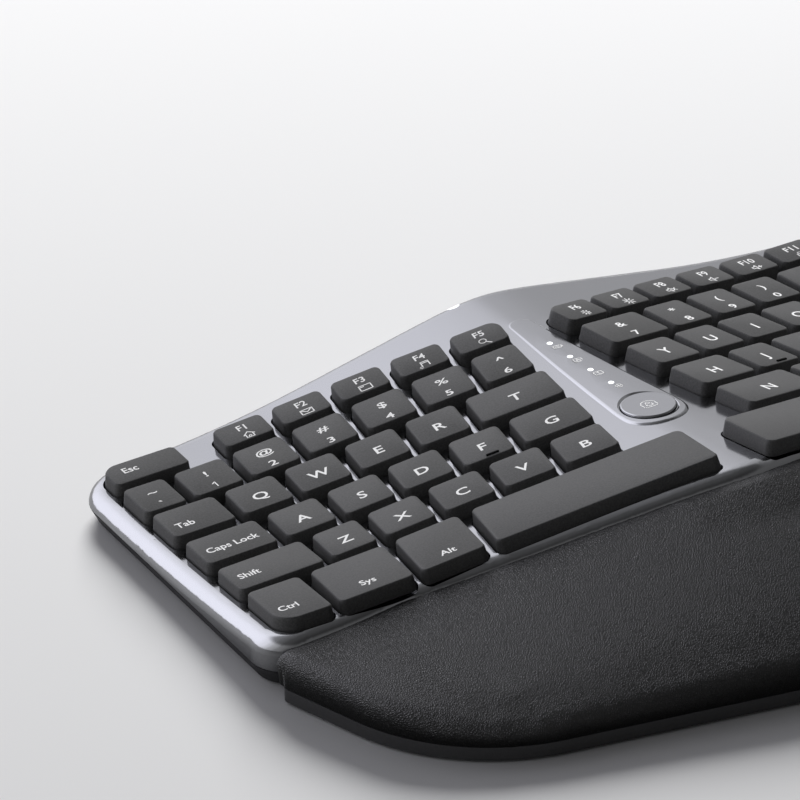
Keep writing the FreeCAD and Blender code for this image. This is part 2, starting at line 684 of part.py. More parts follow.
def top_cover(face, form, keys):
    room = prism(CASE_OUTLINE, CASE_CORNERS, SEAM - 1, SKY, -COVER_WALL)
    shell = form.cut(room.common(under(lowered(face, COVER_THICK))))
    added = [panel_layer(face)]
    for x, y in cover_bosses():
        added.append(cylinder(x, y, BOSS_RADIUS, SEAM, cover_height(x, y) - COVER_THICK / 2))
    shell = shell.fuse(added)
    button = Button()
    wide, high = SOCKET[0] / 2 + SOCKET_GAP, SOCKET[2] + SOCKET_GAP
    nub_wide, nub_high = SWITCH_NUB
    slot = (nub_wide + SWITCH_STROKE) / 2 + SWITCH_GAP
    middle = BOARD_TOP + SOCKET[2] / 2
    wall_in, wall_out = REAR - COVER_WALL - 1, REAR + 1
    wide_rim = CAP_FLARE + OPENING_GAP
    cuts = [key.block((-COVER_THICK - 2, wide_rim), (CAP_RISE, wide_rim)) for key in keys]
    cuts += [bore(x, y, SEAM - 1, bore_top(x, y)) for x, y in cover_bosses()]
    cuts += [cylinder(x, y, LIGHT_RADIUS + LIGHT_FIT, SEAM, SKY) for x, y in lights()]
    cuts.append(button.disc(BUTTON_RADIUS + BUTTON_GAP, -COVER_THICK - RING_RADIUS / 2, RING_RADIUS / 2))
    floor, rim = BUTTON_RADIUS + BUTTON_GAP + RING_LEDGE, RING_RADIUS + RING_FLARE
    cuts.append(button.cone(floor, 2 * rim - floor, -RING_DEPTH, RING_DEPTH))
    cuts.append(rim_light_place(LIGHT_FIT))
    cuts.append(box(-wide, wide, wall_in, wall_out, BOARD_TOP - SOCKET_GAP, BOARD_TOP + high))
    cuts.append(box(SWITCH_X - slot, SWITCH_X + slot, wall_in, wall_out,
                    middle - nub_high / 2 - SWITCH_GAP, middle + nub_high / 2 + SWITCH_GAP))
    return shell.cut(cuts)


TAB_TOP = FOOT + FLOOR + TAB_THICK


def palm_tab(x, grow=0.0):
    """A tab of the palm rest on the case floor; grown for its slot in the case wall."""
    y = front_edge_y(x)
    half = TAB_WIDE / 2 + grow
    return box(x - half, x + half, y - TAB_ROOT, y + TAB_REACH + grow, FOOT + FLOOR, TAB_TOP + grow)


def tab_screws():
    return [(x, front_edge_y(x) + TAB_SCREW) for x in TAB_X]


def bottom_case():
    shell = tapered(CASE_OUTLINE, CASE_CORNERS, FOOT, -CASE_TUCK, SEAM, 0.0)
    room = tapered(CASE_OUTLINE, CASE_CORNERS, FOOT + FLOOR, -CASE_TUCK - CASE_WALL, SEAM + 1, -CASE_WALL)
    shell = shell.cut(room)
    posts = [cylinder(x, y, BOSS_RADIUS, FOOT + FLOOR / 2, SEAM) for x, y in cover_bosses()]
    board_bottom = BOARD_TOP - BOARD_THICK
    posts += [cylinder(x, y, BOSS_RADIUS, FOOT + FLOOR / 2, board_bottom) for x, y in board_posts()]
    shell = shell.fuse(posts)
    cuts = [palm_tab(x, TAB_FIT) for x in TAB_X]
    cuts += [bore(x, y, FOOT - 1, SEAM + 1) for x, y in cover_bosses() + tab_screws()]
    cuts += [bore(x, y, BOARD_TOP - SCREW_BITE, BOARD_TOP) for x, y in board_posts()]
    return shell.cut(cuts)


def palm_core(face, inset, drop):
    points, radii = palm_outline()
    return prism(points, radii, FOOT, SKY, -inset).common(under(lowered(face, PAD_THICK + drop)))


def palm_rest_base(face):
    points, radii = palm_outline()
    rim = prism(points, radii, FOOT, PALM_RIM)
    core = palm_core(face, PLATEAU_IN, 0.0)
    base = rim.fuse(core)
    hollow = prism(points, radii, FOOT - 1, SKY, -PLATEAU_IN - BASE_WALL)
    base = base.cut(hollow.common(under(lowered(face, PAD_THICK + BASE_WALL))))
    base = base.cut(prism(points, radii, FOOT - 1, FOOT + PALM_FLOOR_THICK, -PALM_FLOOR_IN))
    base = base.fuse([palm_tab(x) for x in TAB_X])
    return base.cut([bore(x, y, FOOT, TAB_TOP - SCREW_END) for x, y in tab_screws()])


def palm_rest_floor():
    """The plate that closes the palm rest from below, in a step round its hollow."""
    points, radii = palm_outline()
    return prism(points, radii, FOOT, FOOT + PALM_FLOOR_THICK, -PALM_FLOOR_IN - PALM_FLOOR_FIT)


def palm_pad(face):
    points, radii = palm_outline()
    block = prism(points, radii, PALM_RIM + PAD_SEAT, SKY).common(under(face))
    outer = []
    for edge in crown_face(block).Edges:
        middle = edge.valueAt((edge.FirstParameter + edge.LastParameter) / 2)
        if middle.y < front_edge_y(middle.x) - PAD_ROLL:
            outer.append(edge)
    pad = block.makeFillet(PAD_ROLL, outer)
    return pad.cut(palm_core(face, PLATEAU_IN - PAD_SEAT, -PAD_SEAT))


# Layers under the keys
def field_outline(right):
    """Plan of one half's layers, counter-clockwise."""
    inner = LAYER_INNER
    outer_front = side_x(FRONT_LEFT_Y, right)
    outer_rear = side_x(REAR, right)
    inset = LAYER_SIDE if right is False else -LAYER_SIDE
    front = FRONT_LEFT_Y + LAYER_FRONT
    rear = REAR - LAYER_REAR
    bend = -FRONT_BEND if right is False else FRONT_BEND
    sign = -1.0 if right is False else 1.0
    points = [(sign * inner, rear), (outer_rear + inset, rear), (outer_front + inset, front),
              (bend, FRONT_BEND_Y + LAYER_FRONT), (sign * inner, FRONT_MIDDLE_Y + LAYER_FRONT + 1.0)]
    radii = [1.0, LAYER_CORNER, LAYER_CORNER, 40.0, 1.0]
    if right:
        points.reverse()
        radii.reverse()
    return points, radii


def layer(face, right, top, bottom, added=()):
    """A sheet of one half, with what stands on it, cut off at the sheet's underside."""
    points, radii = field_outline(right)
    sheet = prism(points, radii, FOOT, SKY).common(under(lowered(face, top)))
    if added:
        sheet = sheet.fuse(added)
    sheet = sheet.cut(under(lowered(face, bottom)))
    return sheet.cut(Button().disc(RING_RADIUS + BOSS_RADIUS, -BACK_BOTTOM * 2, 0))


def guide_holes(keys):
    holes = []
    for key in keys:
        holes += [key.post(x, STEM_RADIUS + STEM_FIT, -PLATE_BOTTOM - 2, 0) for x in key.stems]
    return holes


def domes(keys):
    """A rubber dome under each stem. Its foot starts below the mat, which cuts it off."""
    foot_depth = MAT_BOTTOM + DOME_ROOT
    high = foot_depth - STEM_END - STEM_CLEAR
    found = []
    for key in keys:
        for x in key.stems:
            foot = key.on_stem(x, -foot_depth)
            found.append(Part.makeCone(DOME_RADIUS, DOME_TOP_RADIUS, high, foot, key.slide))
    return found


# Electronics
def board_posts():
    x = BOARD_WIDE / 2 - BOARD_POST_IN
    return [(sx * x, y) for sx in (-1, 1) for y in BOARD_POST_Y]


def part_on_board(x, y, wide, deep, high):
    return box(x - wide / 2, x + wide / 2, y - deep / 2, y + deep / 2, BOARD_TOP, BOARD_TOP + high)


def controller_board():
    rear = REAR - BOARD_REAR_GAP
    z = BOARD_TOP - BOARD_THICK
    half = BOARD_WIDE / 2
    board = box(-half, half, BOARD_FRONT, rear, z, BOARD_TOP)
    wing_x, wing_y = BOARD_WING
    flange_y = REAR - COVER_WALL - SWITCH_GAP - SWITCH_FLANGE[1]
    button = Button()
    push_y = (button.origin - button.axis * ((button.origin.z - BOARD_TOP) / button.axis.z)).y
    added = [box(half - 1, wing_x, rear - wing_y, rear, z, BOARD_TOP)]
    reach = SWITCH_FLANGE[0] / 2 + 1.0
    added.append(box(SWITCH_X - reach, SWITCH_X + reach, rear - 4, flange_y - SWITCH_GAP, BOARD_TOP,
                     BOARD_TOP + SOCKET[2]))
    added.append(part_on_board(0.0, push_y, 2 * BUTTON_STEM, 2 * BUTTON_STEM, LAMP[2]))
    for x, y, wide, deep in CHIPS:
        added.append(part_on_board(x, y, wide, deep, CHIP_HIGH))
    for x, y in lights():
        added.append(part_on_board(x, y, *LAMP))
    board = board.fuse(added)
    return board.cut([bore(x, y, z - 1, BOARD_TOP + 1) for x, y in board_posts()])


def board_screws():
    head_top = BOARD_TOP + SCREW_HEAD
    return [cylinder(x, y, SCREW_RADIUS, BOARD_TOP - SCREW_BITE + 1, BOARD_TOP).fuse(
        cylinder(x, y, SCREW_HEAD_RADIUS, BOARD_TOP, head_top)) for x, y in board_posts()]


def battery():
    x, y = BATTERY_AT
    wide, deep, high = BATTERY
    cell = box(x - wide / 2, x + wide / 2, y - deep / 2, y + deep / 2, FOOT + FLOOR, FOOT + FLOOR + high)
    return cell.makeFillet(1.2, [e for e in cell.Edges if abs(e.tangentAt(e.FirstParameter).z) > 0.9])


def charging_socket():
    wide, deep, high = SOCKET
    mouth = REAR - SOCKET_INSET
    shell = box(-wide / 2, wide / 2, mouth - deep, mouth, BOARD_TOP, BOARD_TOP + high)
    inside = box(-wide / 2 + SOCKET_WALL, wide / 2 - SOCKET_WALL, mouth - deep + 1.0, mouth + 1,
                 BOARD_TOP + SOCKET_WALL, BOARD_TOP + high - SOCKET_WALL)
    rounding = high / 2 - 0.1
    shell = shell.makeFillet(rounding, [e for e in shell.Edges if abs(e.tangentAt(e.FirstParameter).y) > 0.9])
    inside = inside.makeFillet(rounding - SOCKET_WALL,
                               [e for e in inside.Edges if abs(e.tangentAt(e.FirstParameter).y) > 0.9])
    middle = BOARD_TOP + high / 2
    side, half = wide / 2 - TONGUE_IN, TONGUE_THICK / 2
    tongue = box(-side, side, mouth - deep + 0.5, mouth - 1.0, middle - half, middle + half)
    return shell.cut(inside).fuse(tongue)


def power_switch():
    nub_wide, nub_high = SWITCH_NUB
    flange_wide, flange_deep, flange_high = SWITCH_FLANGE
    x = SWITCH_X - SWITCH_STROKE / 2
    middle = BOARD_TOP + SOCKET[2] / 2
    wall = REAR - COVER_WALL - SWITCH_GAP
    nub = box(x - nub_wide / 2, x + nub_wide / 2, wall - 0.5, REAR + SWITCH_PROUD,
              middle - nub_high / 2, middle + nub_high / 2)
    flange = box(x - flange_wide / 2, x + flange_wide / 2, wall - flange_deep, wall,
                 middle - flange_high / 2, middle + flange_high / 2)
    return nub.fuse(flange).removeSplitter()


def lock_button():
    button = Button()
    disc = button.disc(BUTTON_RADIUS, BUTTON_RISE - BUTTON_THICK, BUTTON_RISE)
    rim = [e for e in disc.Edges if e.Length > 1 and e.Closed
           and (e.valueAt(e.FirstParameter) - button.origin).dot(button.axis) > 0]
    disc = disc.makeFillet(0.4, rim)
    return disc.fuse(button.disc(BUTTON_STEM, -button.stem_length(), 0)).removeSplitter()


def indicator_lenses(form):
    found = [form.common(rim_light_place())]
    for x, y in lights():
        found.append(cylinder(x, y, LIGHT_RADIUS, BOARD_TOP + LAMP[2] + LAYER_GAP, panel_height(x, y)))
    return found


def feet():
    places = [(0.0, 0.0, FOOT_RADIUS)]
    for index in (0, 1, 5, 6):
        places.append(corner_place(CASE_OUTLINE, CASE_CORNERS, index, FOOT_INSET) + (FOOT_RADIUS,))
    points, radii = palm_outline()
    for index in (1, 2, 3):
        places.append(corner_place(points, radii, index, PALM_FOOT_INSET) + (PALM_FOOT_RADIUS,))
    return places


def housing_screws():
    found = []
    for x, y in cover_bosses():
        found.append((x, y, bore_top(x, y) - SCREW_END))
    for x, y in tab_screws():
        found.append((x, y, TAB_TOP - 2 * SCREW_END))
    return [cylinder(x, y, SCREW_RADIUS, FOOT, z).fuse(
        cylinder(x, y, SCREW_HEAD_RADIUS, FOOT - SCREW_HEAD, FOOT)) for x, y, z in found]


def main():
    left, groups = left_keys(), right_groups()
    right = [key for keys in groups.values() for key in keys]
    face, pad_face = cover_surface(), pad_surface()
    form = cover_form(face)
    for key in left:
        save(node_name(key), keycap(key))
    for node, keys in groups.items():
        save(node, Part.makeCompound([keycap(key) for key in keys]))
    save("top_cover", top_cover(face, form, left + right))
    save("bottom_case", bottom_case())
    save("palm_rest_base", palm_rest_base(pad_face))
    save("palm_rest_floor", palm_rest_floor())
    save("palm_pad", palm_pad(pad_face))
    save("left_key_plate", layer(face, False, PLATE_TOP, PLATE_BOTTOM).cut(guide_holes(left)))
    save("right_key_plate", layer(face, True, PLATE_TOP, PLATE_BOTTOM).cut(guide_holes(right)))
    mats = [layer(face, half, MAT_TOP, MAT_BOTTOM, domes(right if half else left)) for half in (False, True)]
    save("dome_mats", Part.makeCompound(mats))
    sheets = [layer(face, half, MEMBRANE_TOP, MEMBRANE_BOTTOM) for half in (False, True)]
    save("membrane_sheets", Part.makeCompound(sheets))
    backs = [layer(face, half, BACK_TOP, BACK_BOTTOM) for half in (False, True)]
    save("back_plates", Part.makeCompound(backs))
    save("controller_board", controller_board())
    save("battery", battery())
    save("charging_socket", charging_socket())
    save("power_switch", power_switch())
    save("lock_button", lock_button())
    save("indicator_lenses", Part.makeCompound(indicator_lenses(form)))
    save("rubber_feet", Part.makeCompound([cylinder(x, y, radius, 0.0, FOOT) for x, y, radius in feet()]))
    save("housing_screws", Part.makeCompound(housing_screws() + board_screws()))


if __name__ == "__main__":
    main()
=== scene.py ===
import json
import math

import bmesh
import bpy
from mathutils import Matrix, Vector
from mathutils.bvhtree import BVHTree
from mathutils.kdtree import KDTree

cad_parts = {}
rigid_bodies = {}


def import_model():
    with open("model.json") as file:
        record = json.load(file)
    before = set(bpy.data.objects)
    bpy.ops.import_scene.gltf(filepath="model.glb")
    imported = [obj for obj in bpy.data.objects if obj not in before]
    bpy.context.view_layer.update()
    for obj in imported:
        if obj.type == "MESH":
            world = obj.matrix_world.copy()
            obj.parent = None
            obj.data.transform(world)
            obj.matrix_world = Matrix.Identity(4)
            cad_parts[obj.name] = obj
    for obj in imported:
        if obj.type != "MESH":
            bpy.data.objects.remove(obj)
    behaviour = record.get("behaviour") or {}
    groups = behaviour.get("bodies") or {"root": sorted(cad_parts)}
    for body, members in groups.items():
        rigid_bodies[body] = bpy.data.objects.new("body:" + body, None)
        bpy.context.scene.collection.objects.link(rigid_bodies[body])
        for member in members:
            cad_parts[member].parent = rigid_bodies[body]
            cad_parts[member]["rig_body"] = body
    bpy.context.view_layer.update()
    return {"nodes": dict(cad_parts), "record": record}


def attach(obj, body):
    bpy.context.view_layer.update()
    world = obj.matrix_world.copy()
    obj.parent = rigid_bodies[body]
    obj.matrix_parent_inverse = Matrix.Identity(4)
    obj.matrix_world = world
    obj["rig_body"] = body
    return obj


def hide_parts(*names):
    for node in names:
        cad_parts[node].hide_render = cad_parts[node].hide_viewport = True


bl_info = {
    "name": "Ergonomic keyboard",
    "version": (1, 0, 0),
    "blender": (4, 5, 0),
    "location": "3D View > Sidebar > Keyboard",
    "description": "Finishes a split keyboard: keycaps, legends, cover, centre panel, lower case and palm rest",
    "category": "Object",
}

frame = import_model()
MM = 0.001
JOIN = 1e-6             # points nearer than this are one

# Camera of the photograph, measured in its 800 x 800 frame
FRAME_PIXELS = 800.0
FOCAL_PIXELS = 8278.0
CENTRE_PIXEL = (661.24, 410.73)
CAMERA_AZIMUTH = 34.38
CAMERA_ELEVATION = 29.95
CAMERA_DISTANCE = 2.42039
CAMERA_TARGET = Vector((0.00193, 0.00311, 0.03204))

# Studio light: the sky is brightest towards a large soft window, as (azimuth from +Y to +X, elevation) in degrees,
# and fades with the cosine of the angle to it
WINDOW_WAY = (-30.0, 22.0)
# The cosine to the window, and the level of light there
WINDOW_LEVELS = [(-1.0, 0.1), (-0.3, 0.14), (0.2, 0.3), (0.4, 0.52),
                 (0.53, 0.66), (0.65, 0.96), (0.8, 1.32), (1.0, 1.6)]
WINDOW_COOL = 0.06      # bluer where it is brighter
AMBIENT_SHARE = 0.45    # part of that light which reaches matt surfaces
# A dark ceiling: its way, the cosines to it between which it fades in, and what is left of the light there
CEILING_WAY = (-170.0, 82.0)
CEILING_FADE = (0.68, 0.86)
CEILING_SHARE = 0.3
WALL_LEVEL = 0.86       # the plain wall behind the desk
FLOOR_LEVEL = 0.8
# The floor as smooth pieces reflect it, painted darker than it shows to the camera, which is painted shade in its
# reflections: its level in front of the keyboard and behind, and the Y where it changes
FLOOR_MIRRORED_SHADE = (0.1, 0.44)
FLOOR_SHADE_CHANGE = (-0.07, 0.06)
# Lamps: name, way, distance and size in metres, power in watts
LAMPS = [("window_lamp", (30.0, 27.0), 2.6, 1.3, 112.0)]

# Letter rows of the right half, from the centre outwards
RIGHT_LABELS = {
    "right_function_keys": ["F6", "F7", "F8", "F9", "F10", "F11", "F12", "Del"],
    "right_number_keys": ["7", "8", "9", "0", "-", "=", "Backspace"],
    "right_top_letter_keys": ["Y", "U", "I", "O", "P", "[", "]", "\\"],
    "right_home_letter_keys": ["H", "J", "K", "L", ";", "'", "Enter"],
    "right_lower_letter_keys": ["N", "M", ",", ".", "/", "Shift"],
    "right_bottom_keys": ["Alt", "Ctrl", "left", "down", "up", "right"],
}
LEFT_LABELS = {
    "key_escape": "Esc", "key_grave": "`", "key_tab": "Tab", "key_caps_lock": "Caps Lock",
    "key_left_shift": "Shift", "key_left_control": "Ctrl", "key_system": "Sys", "key_left_alt": "Alt",
}
SHIFTED = {
    "`": "~", "1": "!", "2": "@", "3": "#", "4": "$", "5": "%", "6": "^", "7": "&", "8": "*", "9": "(", "0": ")",
    "-": "_", "=": "+", "[": "{", "]": "}", "\\": "|", ";": ":", "'": '"', ",": "<", ".": ">", "/": "?",
}
WORD_PLACES = {
    "Esc": (-4.7, 0.8), "Tab": (-4.1, -2.2), "Caps Lock": (-0.3, -0.8), "Shift": (-7.3, -0.4),
    "Ctrl": (-2.4, -3.9), "Sys": (-0.6, -5.3), "Alt": (0.1, -6.0), "Del": (2.4, 0.8),
    "Backspace": (3.0, -0.8), "Enter": (4.5, -0.8),
}
FUNCTION_ICONS = {
    "F1": "home", "F2": "mail", "F3": "screen", "F4": "note", "F5": "find", "F6": "dim", "F7": "bright",
    "F8": "mute", "F9": "softer", "F10": "louder", "F11": "lock", "F12": "screen",
}
# Places on a key face, in millimetres from its centre: right, back
LETTER_PLACE = (0.0, -0.9)
UPPER_PLACE = (0.1, 2.0)
LOWER_PLACE = (0.0, -4.8)
FUNCTION_PLACE = (0.35, 1.6)
ICON_PLACE = (0.6, -3.0)
# Lettering: wide, and a little bolder than the plain font
LETTER_STRETCH = 1.14
DIGIT_STRETCH = 1.35
WORD_STRETCH = 0.98
LETTER_BOLD = 0.02
CAPITAL_SHARE = 0.7     # capital height as a share of the font size
UPPER_SCALE = 1.05      # a shifted sign against the digit under it
KEY_PEN_SHARE = 0.13    # pen width of a key's icons as a share of the word height
RING_STEPS = 14
LETTER_CURVE_STEPS = 3
# Homing bars, in millimetres: place on the key, half length, half width, half height
HOMING_KEYS = ("F", "J")
HOMING_PLACE = (1.2, -6.4)
HOMING_BAR = (1.7, 0.3, 0.35)
# Key faces: a flat face of at least this area that faces up is the top, or in line with it
UPWARD = 0.9
TOP_AREA = 30 * MM * MM
TOP_IN_LINE = 0.9999
TOP_LEVEL = 0.05 * MM
RIM_ANGLE = 0.2         # radians
SAME_COLUMN = 6 * MM    # keys nearer than this across stand one behind the other
# The key's lighter top colour reaches over its rounded edge, to this facing and this far down; the faces below take
# the skirts' painted shade
TOP_FACING = 0.55
TOP_REACH = 0.6 * MM
KEY_SHARP = 32.0
# Palm pad: its cover is held where its normal points down or back by more than this
PAD_HELD_DOWN = -0.35
PAD_HELD_BACK = 0.55
PAD_PRESSURE = 4.0
PAD_STEPS = 20
PAD_NEIGHBOURS = 8      # simulated points that each point of the pad follows
PAD_EDGE = 5.0 * MM     # height over which the swell grows from nothing at the lower edge
PAD_SHARP = 50.0        # edges sharper than this stay hard
# Its back leans over the cover's rounded front: how far at most, from which facing, and the gap that stays
PAD_LEAN = 2.2 * MM
PAD_LEAN_FACING = (0.25, 0.7)
PAD_LEAN_GAP = 0.4 * MM
# From an indicator light to its icon: right, back, and the height from which it is dropped on the cover
LIGHT_ICON_PLACE = (0.6, -3.25)
LIGHT_ICON_DROP = 20.0
LIGHT_ROW = 1.0 * MM    # the panel's lights stand this near the middle
NOISE_MIDDLE = 0.5      # mean value of the noise texture
# Leather grain: scales of the pebbles, of their bend and of the slow tone, how far the bend goes in metres, and the
# rounded and creased shares of a pebble
PEBBLE_SCALE = 1450.0
PEBBLE_BEND_SCALE = 260.0
PEBBLE_BEND = 0.0003
PEBBLE_ROUND = 0.35
PEBBLE_CREASE = 0.12
PEBBLE_RELIEF = 0.15 * MM
PEBBLE_RELIEF_SHARE = 0.9
TONE_SCALE = 45.0
TONE_LEVELS = (0.82, 1.18)
# The creases between the pebbles are painted darker, to this share of the colour: painted shade
CREASE_SHADE_LEVEL = 0.25
LEATHER_ROUGH = (0.34, 0.7)     # on the pebbles, in the creases
# Stage, in metres
FLOOR_SIZE = 6.0
SENSOR_WIDTH = 36.0     # millimetres
CLIP_END = 50.0

# Icons as pen strokes in a box from -1 to 1
ICONS = {
    "one": [[(0.1, -0.9), (0.1, 0.9), (-0.55, 0.4)]],
    "home": [[(-1, 0), (0, 0.9), (1, 0)], [(-0.7, 0.1), (-0.7, -0.9), (0.7, -0.9), (0.7, 0.1)],
             [(-0.2, -0.9), (-0.2, -0.3), (0.2, -0.3), (0.2, -0.9)]],
    "mail": [[(-1.1, -0.7), (1.1, -0.7), (1.1, 0.7), (-1.1, 0.7), (-1.1, -0.7)],
             [(-1.1, 0.7), (0, -0.2), (1.1, 0.7)]],
    "screen": [[(-1.1, -0.8), (1.1, -0.8), (1.1, 0.8), (-1.1, 0.8), (-1.1, -0.8)], [(-1.1, 0.4), (-0.3, 0.4)]],
    "note": [[(-0.6, -0.7), (-0.6, 0.9), (0.8, 0.9), (0.8, -0.5)], [(-0.6, 0.5), (0.8, 0.5)]],
    "find": [[(0.3, -0.3), (1.0, -1.0)]],
    "dim": [],
    "bright": [],
    "mute": [[(-1, -0.3), (-0.5, -0.3), (0, -0.8), (0, 0.8), (-0.5, 0.3), (-1, 0.3), (-1, -0.3)],
             [(0.4, -0.4), (1.1, 0.4)], [(0.4, 0.4), (1.1, -0.4)]],
    "softer": [[(-1, -0.3), (-0.5, -0.3), (0, -0.8), (0, 0.8), (-0.5, 0.3), (-1, 0.3), (-1, -0.3)],
               [(0.4, 0), (1.1, 0)]],
    "louder": [[(-1, -0.3), (-0.5, -0.3), (0, -0.8), (0, 0.8), (-0.5, 0.3), (-1, 0.3), (-1, -0.3)],
               [(0.4, 0), (1.1, 0)], [(0.75, -0.35), (0.75, 0.35)]],
    "lock": [[(-0.8, -0.9), (0.8, -0.9), (0.8, 0.2), (-0.8, 0.2), (-0.8, -0.9)], [(0, -0.6), (0, -0.15)]],
    "shield": [[(-1, -0.75), (-1, 0.25), (-0.6, 0.75), (0, 0.95), (0.6, 0.75), (1, 0.25), (1, -0.75), (0.7, -0.95),
                (-0.7, -0.95), (-1, -0.75)], [(-0.45, -0.6), (0.45, -0.6), (0.45, 0), (-0.45, 0), (-0.45, -0.6)],
               [(-0.28, 0), (-0.28, 0.3), (0, 0.5), (0.28, 0.3), (0.28, 0)]],
    "capitals": [[(-1, -0.7), (1, -0.7), (1, 0.7), (-1, 0.7), (-1, -0.7)],
                 [(-0.45, -0.4), (0, 0.45), (0.45, -0.4)]],
    "digits": [[(-1, -0.7), (1, -0.7), (1, 0.7), (-1, 0.7), (-1, -0.7)], [(-0.2, 0.2), (0.1, 0.45), (0.1, -0.45)]],
    "link": [[(-0.45, 0), (0.45, 0)], [(0, -0.45), (0, 0.45)]],
    "cell": [[(-1, -0.5), (0.9, -0.5), (0.9, 0.5), (-1, 0.5), (-1, -0.5)], [(1.15, -0.2), (1.15, 0.2)],
             [(-0.6, 0), (0.4, 0)]],
    "left": [[(0.9, 0), (-0.9, 0)], [(-0.2, 0.6), (-0.9, 0), (-0.2, -0.6)]],
    "right": [[(-0.9, 0), (0.9, 0)], [(0.2, 0.6), (0.9, 0), (0.2, -0.6)]],
    "up": [[(0, -0.9), (0, 0.9)], [(-0.6, 0.2), (0, 0.9), (0.6, 0.2)]],
    "down": [[(0, 0.9), (0, -0.9)], [(-0.6, -0.2), (0, -0.9), (0.6, -0.2)]],
}
ICON_RINGS = {"find": (-0.25, 0.25, 0.65), "dim": (0, 0, 0.4), "bright": (0, 0, 0.4), "note": (-0.85, -0.75, 0.25),
              "lock": (0, 0.4, 0.45), "link": (0, 0, 0.75)}
LIGHT_ICONS = ("cell", "capitals", "digits", "link")
ICON_RAYS = {"dim": (8, 0.65, 0.85), "bright": (8, 0.65, 1.1)}


def turned(across, back, up):
    """The turn that takes X, Y and Z to the three directions."""
    return Matrix((across, back, up)).transposed().to_4x4()


def linear(red, green, blue):
    """A display colour from 0 to 255 as the shader's own values."""
    return tuple((c / 255.0 / 12.92) if c <= 10 else ((c / 255.0 + 0.055) / 1.055) ** 2.4
                 for c in (red, green, blue))


def direction(azimuth, elevation):
    """A unit vector: azimuth in degrees from +Y towards +X, elevation in degrees above the desk."""
    turn, rise = math.radians(azimuth), math.radians(elevation)
    return Vector((math.sin(turn) * math.cos(rise), math.cos(turn) * math.cos(rise), math.sin(rise)))


class FinishSettings(bpy.types.PropertyGroup):
    cover: bpy.props.FloatVectorProperty(name="Cover", description="Metallic paint of the cover", subtype="COLOR",
                                         size=3, min=0, max=1, default=linear(186, 187, 190))
    key_top: bpy.props.FloatVectorProperty(name="Key top", description="Moulded plastic of the key faces",
                                           subtype="COLOR", size=3, min=0, max=1, default=linear(78, 78, 78))
    # The skirts' near-black colour is painted shade: the same plastic as the key tops, darkened on the sides
    key_side: bpy.props.FloatVectorProperty(name="Key side", description="Smooth plastic of the key skirts",
                                            subtype="COLOR", size=3, min=0, max=1, default=linear(9, 9, 10))
    legend: bpy.props.FloatVectorProperty(name="Legends", description="Print on the keys", subtype="COLOR",
                                          size=3, min=0, max=1, default=linear(238, 238, 238))
    leather: bpy.props.FloatVectorProperty(name="Palm pad", description="Pebbled leatherette of the pad",
                                           subtype="COLOR", size=3, min=0, max=1, default=linear(30, 30, 30))
    lower_case: bpy.props.FloatVectorProperty(name="Lower case",
                                              description="Spark-textured plastic under the seam",
                                              subtype="COLOR", size=3, min=0, max=1, default=linear(60, 60, 62))


class SizeSettings(bpy.types.PropertyGroup):
    letter: bpy.props.FloatProperty(name="Letter height", description="Capital height of the letter keys",
                                    unit="LENGTH", default=3.8 * MM)
    word: bpy.props.FloatProperty(name="Word height", description="Capital height of words and digits",
                                  unit="LENGTH", default=2.8 * MM)
    icon: bpy.props.FloatProperty(name="Icon size", description="Half width of an icon on a key", unit="LENGTH",
                                  default=1.7 * MM)
    lock_icon: bpy.props.FloatProperty(name="Lock icon", description="Half width of the icon on the button",
                                       unit="LENGTH", default=2.3 * MM)
    light_icon: bpy.props.FloatProperty(name="Light icons", description="Half width of an icon beside a light",
                                        unit="LENGTH", default=1.4 * MM)
    pen: bpy.props.FloatProperty(name="Pen", description="Stroke width of the icons on the cover", unit="LENGTH",
                                 default=0.3 * MM)
    print_thickness: bpy.props.FloatProperty(name="Print thickness", description="Legends stand out this far",
                                             unit="LENGTH", default=0.03 * MM)
    key_round: bpy.props.FloatProperty(name="Key edge", description="Rounding of the key's edges", unit="LENGTH",
                                       default=0.2 * MM)
    pad_voxel: bpy.props.FloatProperty(name="Pad voxel", description="Cell size of the pad's remesh",
                                       unit="LENGTH", default=3.0 * MM)
    pad_swell: bpy.props.FloatProperty(name="Pad swell", description="Most that the padding may swell",
                                       unit="LENGTH", default=1.2 * MM)


# Shader helpers
def node(tree, kind, place=(0, 0), **values):
    made = tree.nodes.new(kind)
    made.location = place
    for key, value in values.items():
        setattr(made, key, value)
    return made


def new_group(name, inputs, outputs):
    group = bpy.data.node_groups.new(name, "ShaderNodeTree")
    for label, kind, default in inputs:
        socket = group.interface.new_socket(name=label, in_out="INPUT", socket_type=kind)
        if default is not None:
            socket.default_value = default
    for label, kind in outputs:
        group.interface.new_socket(name=label, in_out="OUTPUT", socket_type=kind)
    return group


def feed(tree, socket, value):
    """Links a socket to another's output, or gives it a plain value."""
    if hasattr(value, "is_output"):
        tree.links.new(value, socket)
    else:
        socket.default_value = value


def mix_colour(tree, factor, first, second):
    mixed = node(tree, "ShaderNodeMix", data_type="RGBA")
    for socket, value in ((mixed.inputs["Factor"], factor), (mixed.inputs[6], first), (mixed.inputs[7], second)):
        feed(tree, socket, value)
    return mixed.outputs[2]


def maths(tree, operation, first, second):
    made = node(tree, "ShaderNodeMath", operation=operation)
    feed(tree, made.inputs[0], first)
    feed(tree, made.inputs[1], second)
    return made.outputs[0]


